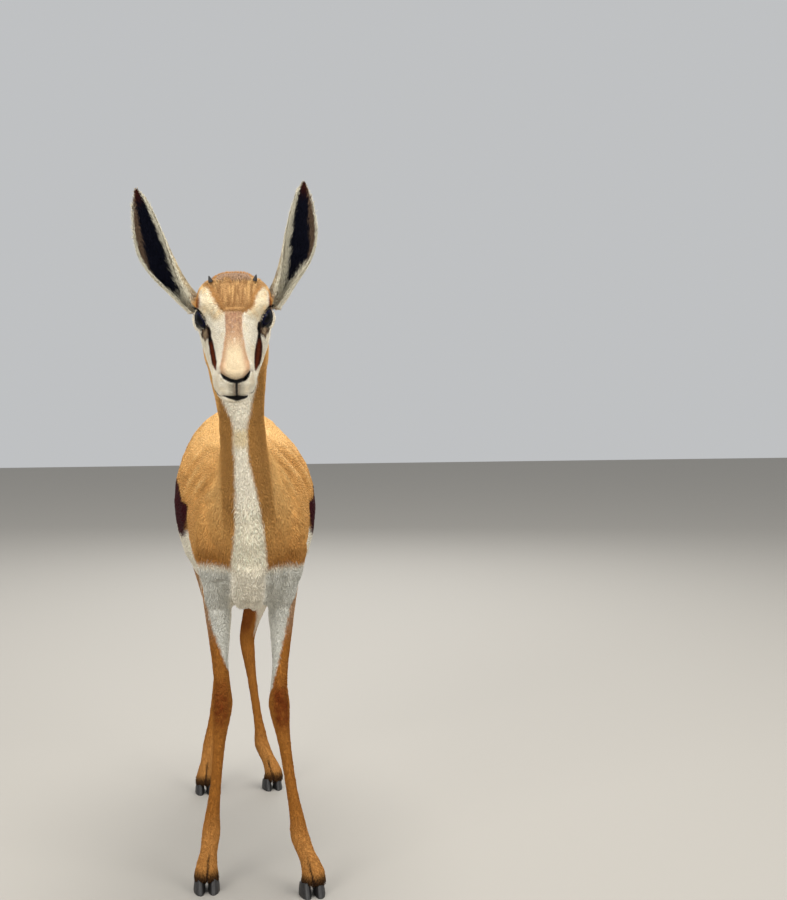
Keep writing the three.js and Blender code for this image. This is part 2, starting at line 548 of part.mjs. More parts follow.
// A leg in its lengths, with the two claws of its hoof and the two dewclaws behind its fetlock.
function addLeg(name, stations, { names, cuts }, leg, scale) {
  const limb = limbLoft(stations);
  const clear = limbLoft(stations, 2, GAP);
  const heel = valuesAt(stations, stations.length - 3.6); // a little below the fetlock
  const edges = [Infinity, ...cuts, -Infinity];
  names.forEach((part, i) => {
    let length = limb;
    if (i > 0) length = length.trimByPlane([0, 0, -1], -(edges[i] - GAP / 2));
    if (i < cuts.length) length = length.trimByPlane([0, 0, 1], edges[i + 1] + GAP / 2);
    addPart(`${name}_${part}`, length, COAT.brown);
  });
  for (const side of [1, -1]) {
    const end = side === leg.sign ? "outer" : "inner";
    const hoof = claw(leg.foot, leg.toeY, side, leg.turn * leg.sign, scale);
    addPart(`${name}_claw_${end}`, hoof.subtract(clear), HORN, 0.45);
    addPart(`${name}_dewclaw_${end}`, dewclaw(heel, side, scale).subtract(clear), HORN, 0.45);
  }
}

const springbok = new THREE.Group();
springbok.name = "springbok";
for (const mesh of meshes) springbok.add(mesh);
const reach = new THREE.Box3().setFromObject(springbok, true);
springbok.position.set(-(reach.min.x + reach.max.x) / 2, -(reach.min.y + reach.max.y) / 2, -reach.min.z);
springbok.updateMatrixWorld(true);

export default springbok;
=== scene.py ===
# A young springbok, life size and still: one skin over the frame's flesh, a coat of mesh tufts on it,
# eyes with their lids and lashes, hooves, dewclaws and horn buds.

import math

import bmesh
import bpy
import numpy as np
from mathutils import Matrix, Vector


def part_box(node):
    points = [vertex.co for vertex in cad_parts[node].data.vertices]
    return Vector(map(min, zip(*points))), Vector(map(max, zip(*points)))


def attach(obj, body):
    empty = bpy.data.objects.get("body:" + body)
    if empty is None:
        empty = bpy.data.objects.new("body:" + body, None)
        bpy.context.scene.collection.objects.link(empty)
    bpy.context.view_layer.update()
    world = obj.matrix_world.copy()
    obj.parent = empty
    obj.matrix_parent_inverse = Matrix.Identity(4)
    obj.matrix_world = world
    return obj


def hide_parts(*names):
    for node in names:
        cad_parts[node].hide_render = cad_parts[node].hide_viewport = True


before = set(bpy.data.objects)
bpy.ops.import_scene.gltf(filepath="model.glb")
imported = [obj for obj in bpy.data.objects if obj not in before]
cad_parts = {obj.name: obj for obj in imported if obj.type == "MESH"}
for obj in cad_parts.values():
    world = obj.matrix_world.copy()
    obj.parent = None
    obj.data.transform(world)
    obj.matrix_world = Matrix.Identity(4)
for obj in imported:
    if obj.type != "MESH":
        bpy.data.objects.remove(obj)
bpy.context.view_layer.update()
MM = 0.001  # the drawing is in millimetres, the scene in metres

# ---------------------------------------------------------------------------------------------
# The drawing's own axes, in millimetres: X is the animal's left, -Y the way it faces, Z up, from a
# point on the floor between the forefeet. SHIFT takes a drawn place to the frame's.

HEAD_ROOT = np.array((-25.0, -81.0, 776.0))  # back of the skull
HEAD_PITCH, HEAD_TILT, HEAD_TURN = 28.0, -2.0, -2.5  # degrees
EYE_IN_HEAD = (71.0, 23.0, 32.5)  # along the head, up, to the side
NECK_CUT = {"at": (-24.0, -75.0, 705.0), "up": (0.0, -0.5, 0.866), "lap": 4.0}


def above_cut(points):
    """Height over the slanted plane where the skins of neck and head meet."""
    return (points - np.array(NECK_CUT["at"])) @ np.array(NECK_CUT["up"])


def head_share(points):
    """0 on the neck, 1 on the head."""
    return rise(above_cut(points), -2, 12)


def turn_about(axis, degrees):
    return np.array(Matrix.Rotation(math.radians(degrees), 3, axis))


HEAD_AXES = turn_about("Z", HEAD_TURN) @ turn_about("X", HEAD_PITCH) @ turn_about("Y", HEAD_TILT)


def in_head(u, v, w):
    """A place by its way along the head, its height and its side, as drawn millimetres."""
    return HEAD_AXES @ np.array((w, -u, v)) + HEAD_ROOT


def head_places(points):
    """u along the head, v up and w to the animal's left, of drawn places."""
    local = (points - HEAD_ROOT) @ HEAD_AXES
    return -local[:, 1], local[:, 2], local[:, 0]


def middle_of(node):
    low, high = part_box(node)
    return np.array((low + high) / 2)


EYES_MIDDLE = (middle_of("eye_left") + middle_of("eye_right")) / 2
SHIFT = EYES_MIDDLE / MM - in_head(EYE_IN_HEAD[0], EYE_IN_HEAD[1], 0)


def drawn(points):
    return np.asarray(points) / MM - SHIFT


def placed(points):
    return (np.asarray(points) + SHIFT) * MM


# ---------------------------------------------------------------------------------------------
# Small sums on many points at once


def rise(value, start, end):
    """0 at start, 1 at end, smooth between; start may be the larger."""
    t = np.clip((value - start) / (end - start), 0, 1)
    return t * t * (3 - 2 * t)


def within(value, low, high, soft):
    return rise(value, low - soft, low + soft) * rise(value, high + soft, high - soft)


def speckle(points, size, seed):
    """Smooth random values from -1 to 1 on a lattice of cells `size` mm across, the same every run."""
    cells = points / size
    base = np.floor(cells).astype(np.int64)
    part = cells - base
    part = part * part * (3 - 2 * part)
    total = np.zeros(len(points))
    for corner in range(8):
        step = np.array((corner & 1, corner >> 1 & 1, corner >> 2 & 1))
        key = (base + step) * (73856093, 19349663, 83492791)
        mixed = (key[:, 0] ^ key[:, 1] ^ key[:, 2] ^ seed * 2654435761) & 0x7FFFFFFF
        mixed = (mixed * 1103515245 + 12345 >> 7) & 0xFFFF
        total += np.prod(np.where(step, part, 1 - part), axis=1) * mixed
    return total / 32767.5 - 1


def unit(vectors):
    return vectors / np.maximum(np.linalg.norm(vectors, axis=-1, keepdims=True), 1e-9)


def away_from(across, down, points):
    """Distance of flat places from a bent line, and how far along it, from 0 to 1."""
    line = np.array(points, float)
    best, along = np.full(len(across), 1e9), np.zeros(len(across))
    reach = np.concatenate(([0], np.cumsum(np.linalg.norm(np.diff(line, axis=0), axis=1))))
    for k in range(len(line) - 1):
        way = line[k + 1] - line[k]
        t = np.clip(((across - line[k, 0]) * way[0] + (down - line[k, 1]) * way[1]) / (way @ way), 0, 1)
        gap = np.hypot(across - line[k, 0] - t * way[0], down - line[k, 1] - t * way[1])
        nearer = gap < best
        best[nearer] = gap[nearer]
        along[nearer] = ((reach[k] + t * np.linalg.norm(way)) / reach[-1])[nearer]
    return best, along


# ---------------------------------------------------------------------------------------------
# Where the legs and ears run


def leg_line(kind, at):
    """Heights, sides and depths of a leg's middle line, from the foot up."""
    toe = at["toe"]
    if kind == "fore":
        knee, fetlock = 22 + (toe + 10) / 2, toe + 37
        shin = [(230, 0.1), (198, 0.28), (140, 0.6), (98, 0.88)]
        rows = [(z, at["carpus"] + (at["fetlock"] - at["carpus"]) * t, knee + (fetlock - knee) * t) for z, t in shin]
        rows += [(75, at["fetlock"], fetlock), (50, at["fetlock"] * 0.45 + at["foot"] * 0.55, toe + 30)]
        rows += [(20, at["foot"], toe + 25), (256, at["carpus"], knee), (280, at["carpus"], knee)]
        rows += [(312, (at["elbow"] + at["carpus"]) / 2, (32 + knee) / 2), (350, at["elbow"] * 0.98, 32)]
        rows += [(388, at["elbow"], 32), (422, at["shoulder"] * 0.4 + at["elbow"] * 0.6, 24)]
        rows += [(462, at["shoulder"], 20), (510, at["shoulder"] * 0.92, 42)]
    else:
        hock, fetlock = 478, toe + 34
        shin = [(222, 0.08), (180, 0.32), (118, 0.7), (90, 0.9)]
        rows = [(z, at["hock"] + (at["fetlock"] - at["hock"]) * t, hock + (fetlock - hock) * t) for z, t in shin]
        rows += [(70, at["fetlock"], fetlock), (47, at["fetlock"] * 0.45 + at["foot"] * 0.55, toe + 28)]
        rows += [(20, at["foot"], toe + 23), (246, at["hock"], 474), (274, at["gaskin"], 454)]
        rows += [(315, at["stifle"] * 0.25 + at["gaskin"] * 0.75, 424), (405, at["stifle"], 392)]
        rows += [(362, at["stifle"] * 0.65 + at["gaskin"] * 0.35, 400), (450, at["sign"] * 56 - 8, 398)]
        rows += [(505, at["sign"] * 53 - 8, 404)]
    return np.array(sorted(rows)).T


def leg_facts(kind, sign, joints):
    """One leg's kind, its side (1 is the animal's left) and where its joints stand."""
    names = ("shoulder", "elbow", "carpus") if kind == "fore" else ("stifle", "gaskin", "hock")
    return kind, {"sign": sign, **dict(zip((*names, "fetlock", "foot", "toe"), joints))}


# X of each joint from the top down, and the Y of the toe
LEGS = {
    "foreleg_left": leg_facts("fore", 1, (45, 36, 31, 57, 74, -26)),
    "foreleg_right": leg_facts("fore", -1, (-54, -48, -44, -60, -67, 6)),
    "hindleg_left": leg_facts("hind", 1, (48, 10, 6, 28, 46, 428)),
    "hindleg_right": leg_facts("hind", -1, (-60, -40, -35, -57, -65, 421)),
}
LEG_LINES = {name: leg_line(kind, at) for name, (kind, at) in LEGS.items()}

EAR_FACTS = ("sign", "root", "length", "lean", "back", "open", "bow")  # mm, and degrees from upright
EARS = {
    "left": dict(zip(EAR_FACTS, (1, in_head(6, 3, 42), 160, 16, 4, 12, 13))),
    "right": dict(zip(EAR_FACTS, (-1, in_head(6, 3, -43), 164, 27.5, 4, 22, 14))),
}
# Along the ear: share of its length, the roll's radius in mm and half its arc in degrees
EAR_ROLL = np.array(
    [(0, 12, 168), (0.1, 12.8, 158), (0.2, 13.5, 142), (0.3, 15.2, 124), (0.42, 18.2, 106), (0.54, 20.2, 92),
     (0.65, 20, 80), (0.76, 18, 68), (0.86, 15, 56), (0.94, 11, 45), (1, 4.5, 30)]
).T  # fmt: skip


def ear_axes(ear):
    lean, back, turned = (math.radians(ear[key]) for key in ("lean", "back", "open"))
    along = unit(np.array((ear["sign"] * math.sin(lean), math.sin(back), math.cos(lean))))
    outward = np.array((ear["sign"] * math.cos(turned), math.sin(turned), 0))
    outward = unit(outward - along * (outward @ along))
    rear = unit(np.cross(outward, along) * -ear["sign"])
    return along, outward, rear if rear[1] > 0 else -rear


def ear_places(points, normals, ear):
    """t from root to tip, the share of the roll from -1 by the head to 1 outside, how near the ear's
    wall, and how much a face looks into the cup."""
    along, outward, rear = ear_axes(ear)
    rel = points - ear["root"]
    t = rel @ along / ear["length"]
    radius = np.interp(t, EAR_ROLL[0], EAR_ROLL[1])
    side = rel @ outward - ear["bow"] * np.sin(np.pi * np.clip(t, 0, 1))
    depth = rel @ rear + radius * 0.5
    share = np.degrees(np.arctan2(side, depth)) / np.interp(t, EAR_ROLL[0], EAR_ROLL[2])
    slack = np.interp(t, (-0.1, 0.05, 0.15), (0, 2, 6))
    near = rise(np.hypot(side, depth), radius + 3 + slack, radius + 1 + slack / 3) * within(t, -0.1, 1.06, 0.03)
    way_out = unit(side[:, None] * outward + depth[:, None] * rear)
    return t, share, near, -np.einsum("ij,ij->i", way_out, normals)


# ---------------------------------------------------------------------------------------------
# The eyes: a ball, and the opening between the lids, seen along the way the eye looks

EYE_BALL = (69.3, 25.2, 31.3)  # a little higher under the brow than the solid's
BALL_RADIUS = 13.4
EYE_LOOK = {"forward": 42.0, "rise": 8.0}  # degrees forward of the side, and up
EYE_SLANT = 36.0  # degrees that the outer corner stands above the inner one
OPENING_MIDDLE = -1.5  # where the opening's middle lies along it, from the ball's, in mm


def ball_middle(sign):
    return in_head(*EYE_BALL[:2], sign * EYE_BALL[2])


def eye_axes(sign):
    """Along the opening to its outer corner, across it, and the way the eye looks."""
    forward, up = math.radians(EYE_LOOK["forward"]), math.radians(EYE_LOOK["rise"])
    look = unit(np.array((sign * math.cos(forward), -math.sin(forward), math.sin(up))))
    long = unit(np.cross((0, 0, 1), look)) * sign
    tall = np.cross(look, long) * sign
    turn = np.array(Matrix.Rotation(sign * math.radians(EYE_SLANT), 3, Vector(look)))
    return HEAD_AXES @ turn @ long, HEAD_AXES @ turn @ tall, HEAD_AXES @ look


def bowed(start, control, end, steps):
    """Places on a bent line that `control` draws towards itself."""
    t = np.linspace(0, 1, steps, endpoint=False)[:, None]
    return (1 - t) ** 2 * np.array(start) + 2 * t * (1 - t) * np.array(control) + t * t * np.array(end)


def opening(steps=12):
    """The edge of the lids, flat, from the inner corner over the upper lid and back."""
    inner, outer, top, low = (-15.0, 1.0), (12.1, -0.8), (-1.0, 8.2), (-0.5, -6.0)
    upper = [bowed(inner, (-8.5, 8.4), top, steps), bowed(top, (8.6, 8.2), outer, steps)]
    lower = [bowed(outer, (8.0, -6.2), low, steps), bowed(low, (-8.6, -5.8), inner, steps)]
    return np.concatenate(upper + lower)


def round_opening(flat):
    """The way round the opening of flat places, and how far from its middle."""
    along = flat[:, 0] - OPENING_MIDDLE
    return np.arctan2(flat[:, 1], along), np.hypot(along, flat[:, 1])


def lid_gap(points, sign):
    """How far outside the opening each place is, in mm, and how far before the eye's middle."""
    along, across, look = eye_axes(sign)
    rel = points - ball_middle(sign)
    turn, reach = round_opening(np.column_stack((rel @ along, rel @ across)))
    edge_turn, edge_reach = round_opening(opening())
    return reach - np.interp(turn, edge_turn, edge_reach, period=2 * np.pi), rel @ look


# ---------------------------------------------------------------------------------------------
# The coat's markings, with some painted light and shade, as one function of place that the skin and every tuft take
# their colour from


def shade(code):
    """An sRGB hex value as the linear colour that Blender works in."""
    parts = np.array([int(code[k : k + 2], 16) / 255 for k in (0, 2, 4)])
    return np.where(parts <= 0.04045, parts / 12.92, ((parts + 0.055) / 1.055) ** 2.4)


HAIR = {
    "fawn": shade("dda761"),
    "fawn_light": shade("f0c886"),
    "fawn_deep": shade("b27c3f"),
    # duller tan of painted shade, down the neck beside the white stripe
    "neck": shade("ae7f45"),
    "leg": shade("ac7030"),
    "pastern": shade("c58b4a"),
    "knee": shade("7b3b15"),
    "white": shade("f5eddb"),
    # a white for painted light, on the brisket's lobe and the low stripe
    "painted_light": shade("fff6dd"),
    "cream": shade("ead6ab"),
    "band": shade("3d1016"),
    "stripe": shade("64280f"),
    "forehead": shade("bf9461"),
    "streak": shade("8c6236"),
    "crown": shade("a3846a"),
    "crown_dark": shade("5d4434"),
    "blaze": shade("dab38e"),
    "blaze_red": shade("b5876a"),
    # paler cream for a painted highlight down the middle of the muzzle pad
    "nose_highlight": shade("ecdab8"),
    # dark bare skin inside the ear, darkened further as painted shade
    "ear_skin_and_shade": shade("0c0e1c"),
    "ear_tip": shade("3a1712"),
    "ear_back": shade("9a8d79"),
    "ear_rim": shade("d9d3be"),
    "taupe": shade("7d6652"),
    "black": shade("0b0a0b"),
    "dusk": shade("2b1a12"),
    # grey of painted shade on the upper lip beside its groove
    "lip_shade": shade("cbc3af"),
    # grey-white of painted shade, for the white's sides on chest and forelegs
    "shaded": shade("dddcd3"),
}

# The face is painted from in front, where the camera stands: a spot is so many mm to the viewer's
# right of the middle between the eyes, and so many below it, on a board that stands at the eyes.
VIEW_YAW, VIEW_PITCH = 8.0, 4.8  # the camera's turn to the animal's left, and down, in degrees
EYE_LINE = in_head(EYE_IN_HEAD[0], EYE_IN_HEAD[1], 0)
VIEW_FROM = EYE_LINE + np.array((-49.0, -1698.6, -13.0))
VIEW_AXES = turn_about("Z", -VIEW_YAW) @ turn_about("X", -VIEW_PITCH)


def on_board(points):
    rel = (points - VIEW_FROM) @ VIEW_AXES
    return rel[..., 0] / rel[..., 1], rel[..., 2] / rel[..., 1]


BOARD_AWAY = float(((EYE_LINE - VIEW_FROM) @ VIEW_AXES)[1])


def face_places(points):
    """How far to the viewer's right and how far down each point is seen on the board."""
    (side, height), (side_0, height_0) = on_board(points), on_board(EYE_LINE)
    return (side - side_0) * BOARD_AWAY, (height_0 - height) * BOARD_AWAY


# Half the width of the tan forehead, by the way down the face
FOREHEAD_HALF = np.array(
    [(-60, 61), (-45, 50), (-40, 39), (-35.5, 31), (-30, 27.5), (-25.8, 25.5), (-17.5, 21), (-12, 16), (-7.5, 10)]
).T
# The two sides of the blaze, by the way down
BLAZE_EDGES = np.array(
    [
        (-8.1, -10.0, 9.4),
        (13, -9.6, 10.0),
        (30.7, -12.0, 12.4),
        (44.8, -14.4, 16.0),
        (56.6, -16.6, 18.8),
        (64, -15.8, 18.1),
        (73.1, -8.1, 10.7),
    ]
).T
# The dark stripes from each eye's inner corner down the cheek, and their half widths by the way along
EYE_STRIPES = {
    -1: [(-35, 5.5), (-30.8, 9.2), (-28.9, 15), (-28.5, 20), (-27.3, 27.2), (-25, 39), (-22.8, 50.7), (-21, 59.5)],
    1: [(34.8, 1), (30.8, 4.2), (29.2, 9.2), (30, 15.5), (30.2, 21.3), (29.8, 30.7), (28.6, 41)]
    + [(27.2, 50.7), (25.3, 59.5)],
}
EYE_STRIPE_HALF = {
    -1: ((0, 0.1, 0.2, 0.28, 0.4, 0.62, 0.84, 1), (1.6, 2.3, 2.0, 1.6, 2.8, 3.2, 2.8, 0.6)),
    1: ((0, 0.08, 0.17, 0.27, 0.37, 0.52, 0.69, 0.86, 1), (1.6, 2.1, 1.8, 1.7, 2.3, 4.0, 4.1, 3.4, 0.7)),
}
NOSTRIL_LINE = [(-14.8, 64.9), (-11.1, 69), (-4.2, 72.6), (3.2, 74), (11.9, 71.2), (16.1, 67.2), (18.8, 61.9)]
MOUTH_LINE = [(-12.2, 90.3), (-5.2, 92.2), (3.1, 93.3), (11.9, 92.2), (19.7, 89.8)]
PHILTRUM_LINE = [(3.1, 73.7), (3.4, 91.9)]
TEAR_PATCH = {-1: [(-33.4, 12.5), (-34.0, 25.0)], 1: [(35.0, 9.5), (37.4, 21.0)]}
MUZZLE = (150, 160)  # how far along the head the nostrils and lips begin
CHIN_HEIGHT = 640  # all of the muzzle is higher than this


def paint(colour, hair, amount):
    """Lays the named hair's colour over the colours, as thickly as `amount` says."""
    return colour + (HAIR[hair] - colour) * np.clip(amount, 0, 1)[:, None]


def leg_places(points, name):
    """Which way round the leg each point looks from its middle line (0 fore, 90 outside, -90 inside)."""
    heights, sides, depths = LEG_LINES[name]
    z = points[:, 2]
    out = (points[:, 0] - np.interp(z, heights, sides)) * LEGS[name][1]["sign"]
    fore = np.interp(z, heights, depths) - points[:, 1]
    return np.degrees(np.arctan2(out, fore)), np.hypot(out, fore)


# The sides of the neck's column, as heights and X to the animal's right and left
NECK_EDGES = np.array(
    [(455, -36, 31), (479, -39, 28), (501, -41, 24), (539, -43, 20), (577, -44, 16), (601, -45, 13), (642, -46, 9)]
).T


def fold_height(p):
    """Shallow folds of the skin that run from the base of the neck over shoulder and ribs, from -1 to 1."""
    x, y, z = p.T
    side = np.abs(x + 10)
    ring = np.hypot(side, (z - 470) * 0.75) + 0.06 * y + 3.5 * speckle(p, 38, 51)
    strong = rise(side, 30, 46) * rise(z, 505, 545) * rise(y, -60, -20) * rise(y, 210, 130)
    return np.sin(ring * 2 * np.pi / 13.5) * strong * (0.55 + 0.45 * speckle(p, 30, 52))


def elbow_edge(z):
    """How far back the tan of the upper foreleg reaches before the white of the belly."""
    return np.interp(z, (370, 400, 430, 455, 480), (62, 66, 80, 94, 104))


def body_colour(p, n):
    """Trunk and neck: fawn back, dark flank band, white belly, chest and throat, white rump patch."""
    x, y, z = p.T
    wander = speckle(p, 22, 3)
    fine = speckle(p, 5, 4)
    colour = np.tile(HAIR["fawn"], (len(p), 1))
    # lighter fawn on faces that turn up, high on the body: a painted highlight, with a little random tone
    colour = paint(colour, "fawn_light", 0.55 * rise(n[:, 2], 0.1, 0.9) * rise(z, 540, 600) + 0.1 * wander)
    # deeper tan low on the barrel, more where faces turn from above: partly the coat's own richer tone, partly painted
    # shade
    colour = paint(colour, "fawn_deep", 0.35 * rise(z, 590, 530) * rise(y, 60, 140) * rise(n[:, 2], 0.5, 0.0))
    # down the neck, tan darkened beside the white stripe as painted shade of the neck's sides and furrows
    neck = rise(z, 480, 560) * rise(y, 40, -20) * rise(n[:, 1], 0.3, -0.5)
    outer_left, outer_right = (np.interp(z, NECK_EDGES[0], NECK_EDGES[k]) for k in (1, 2))
    beside = within(x, outer_left, outer_right, 3)
    colour = paint(colour, "neck", 0.85 * rise(z, 470, 540) * rise(y, -10, -40) * beside)
    # lighter fawn on front faces outside the neck's column: a painted highlight
    outside = rise(np.abs(x - (outer_left + outer_right) / 2), 26, 34) * (1 - beside)
    colour = paint(colour, "fawn_light", 0.5 * neck * outside)
    folds = fold_height(p)
    # painted highlight on the folds' ridges and painted shade in their hollows, over the folds that sculpt_body shapes
    colour = paint(colour, "fawn_light", 0.7 * rise(folds, 0.2, 0.8))
    colour = paint(colour, "fawn_deep", 0.45 * rise(folds, -0.2, -0.8))
    lower = rise(z, 505, 458) * rise(y, 50, 10)
    colour = paint(colour, "fawn_deep", 0.85 * lower * rise(wander, -1.4, 0.2))
    # dark band along the flank, and the white below it
    middle = np.interp(y, (60, 110, 180, 260, 340, 400), (474, 488, 503, 505, 500, 492))
    half = np.interp(y, (90, 120, 160, 240, 330, 395, 420), (13, 24, 31, 31, 25, 15, 5))
    edge = 3.5 * wander + 2.5 * fine
    begin = np.interp(z, (455, 480, 510), (128, 112, 96))
    on_side = rise(y, begin - 12, begin + 10) * rise(y, 428, 405)
    start = elbow_edge(z) + edge
    belly_top = middle - half * 0.4 + edge
    belly = rise(z, belly_top + 3, belly_top - 3) * rise(y, start - 5, start + 5) * rise(y, 428, 405)
    colour = paint(colour, "white", belly)
    colour = paint(colour, "band", within(z - middle + edge, -half, half, 3) * on_side)
    # white chest between the shoulders, and the stripe up the front of the neck
    chest_top = 453 + 2 * wander + 1.5 * fine - 0.12 * np.maximum(np.abs(x + 13) - 35, 0)
    before_legs = rise(y, 62, 48)
    colour = paint(colour, "leg", 0.45 * rise(z, chest_top + 20, chest_top + 5) * before_legs)
    colour = paint(colour, "white", rise(z, chest_top + 6, chest_top - 5) * before_legs)
    lobe = rise(np.abs(x + 11), 24, 15)
    # grey-white on the chest's sides beside the lobe: painted shade
    colour = paint(colour, "shaded", 0.85 * rise(z, chest_top - 2, chest_top - 12) * before_legs * (1 - lobe))
    # the brisket's lobe lightened against the shadow it stands in: painted light
    colour = paint(colour, "painted_light", rise(z, 460, 430) * rise(y, 30, 10) * lobe)
    front = rise(n[:, 1], 0.25, -0.25)
    heights = (455, 490, 522, 554, 591, 611, 627, 645, 662, 690)
    left = np.interp(z, heights, (-33, -29, -28, -28, -28, -29.5, -28, -33, -41, -50))
    right = np.interp(z, heights, (12, 9, 4, -2, -11, -13, -13, -10, -7, 0))
    stripe = within(x + 0.8 * wander + 1.0 * fine, left, right, 2.6) * front * rise(y, 10, -10) * rise(z, 448, 456)
    colour = paint(colour, "white", stripe)
    # the stripe lightened low on the chest: painted light
    colour = paint(colour, "painted_light", 0.6 * stripe * rise(z, 560, 500))
    colour = paint(colour, "cream", 0.8 * stripe * within(z, 609, 630, 5))
    # white rump with a thin brown edge, running up to a pale line on the back
    rump_half = np.interp(z, (380, 430, 500, 560, 600, 640), (44, 56, 62, 50, 26, 9))
    rump_front = np.interp(z, (380, 480, 560, 600, 625, 640), (440, 452, 448, 425, 395, 330))
    across, behind = rump_half - np.abs(x + 9) + edge, y - rump_front + edge
    inner = rise(across, -3, 3) * rise(behind, -5, 5) * rise(z, 372, 388)
    outer = rise(across, -13, -5) * rise(behind, -20, -8) * rise(z, 372, 388)
    colour = paint(colour, "knee", 0.75 * outer * (1 - inner))
    colour = paint(colour, "white", inner)
    return colour


# How far round towards the outside the white of a foreleg's inner face reaches, by height
WHITE_INSIDE = {
    -1: ((286, 298, 308, 323, 344, 370, 398, 437, 452), (-175, -85, -36, -12, 12, 36, 44, 70, 90)),
    1: ((258, 270, 280, 302, 322, 341, 368, 397, 437, 452), (-175, -90, -50, -24, -6, 6, 22, 30, 70, 90)),
}


def foreleg_colour(colour, p, name):
    """Brown in front and outside, white inside, with a darker knee."""
    x, y, z = p.T
    sign = LEGS[name][1]["sign"]
    fine = 2.5 * speckle(p, 5, 4)
    mine = rise(y - elbow_edge(z), 4, -4) * (x * sign > -7 * sign)
    angle = leg_places(p, name)[0]
    heights, limits = WHITE_INSIDE[sign]
    limit = np.interp(z, heights, limits)
    brown = rise(angle + 2 * fine, limit - 7, limit + 7)
    brown = np.maximum(brown, rise(angle, -135, -155))
    part = mine * rise(z, 452, 440)
    colour = paint(colour, "white", part * (1 - brown))
    # the white of the legs' inner faces greyed away from the chest's middle: painted shade
    colour = paint(colour, "shaded", part * (1 - brown) * rise(np.abs(x + 11), 17, 27))
    colour = paint(colour, "leg", part * brown * rise(z, 450, 330))
    colour = paint(colour, "fawn_deep", part * brown * rise(z, 340, 430))
    knee = within(z, 226, 286, 16) * rise(np.abs(angle - 8), 74, 22) * (0.85 + 0.15 * fine)
    colour = paint(colour, "knee", mine * 0.9 * knee)
    return paint(colour, "pastern", mine * rise(z, 118, 60) * 0.9)


def hindleg_colour(colour, p, name):
    """Brown with a white inside, and a white strip down the front of the thigh."""
    x, y, z = p.T
    sign = LEGS[name][1]["sign"]
    fine = 2.5 * speckle(p, 5, 4)
    mine = rise(y, 320, 345) * (x * sign > -9 * sign)
    angle = leg_places(p, name)[0]
    inside = within(angle + 2 * fine, np.interp(z, (300, 400), (-60, -150)), -20, 10) * rise(z, 318, 336)
    limit = np.interp(z, (256, 330, 375, 430), (58, 52, 26, 16))
    front = within(angle + 2 * fine, np.interp(z, (252, 338), (44, -20)), limit, 8)
    front = front * within(z, 256, 470, 8) * np.interp(z, (256, 330), (0.85, 1))
    part = mine * rise(z, 470, 440)
    colour = paint(colour, "fawn_deep", part * 0.8 * rise(z, 470, 400))
    colour = paint(colour, "leg", part * rise(z, 400, 300))
    colour = paint(colour, "knee", 0.7 * mine * within(angle, -150, 2, 12) * within(z, 262, 326, 14))
    colour = paint(colour, "white", mine * np.maximum(inside, front) * rise(z, 490, 470))
    return paint(colour, "pastern", mine * rise(z, 112, 56) * 0.9)


def hoof_fringe(colour, p):
    """The dark cleft up the front of each pastern, and the dark fringe over the hoof."""
    z = p[:, 2]
    for name in LEG_LINES:
        angle, away = leg_places(p, name)
        near = (away < 40) * (z < 80)
        side = np.abs(away * np.sin(np.radians(angle)))
        cleft = rise(side, 2.0, 0.6) * rise(np.abs(angle), 70, 50) * rise(z, 56, 44)
        colour = paint(colour, "dusk", 0.85 * near * cleft)
    return paint(colour, "dusk", rise(z, 33, 22) * 0.9)


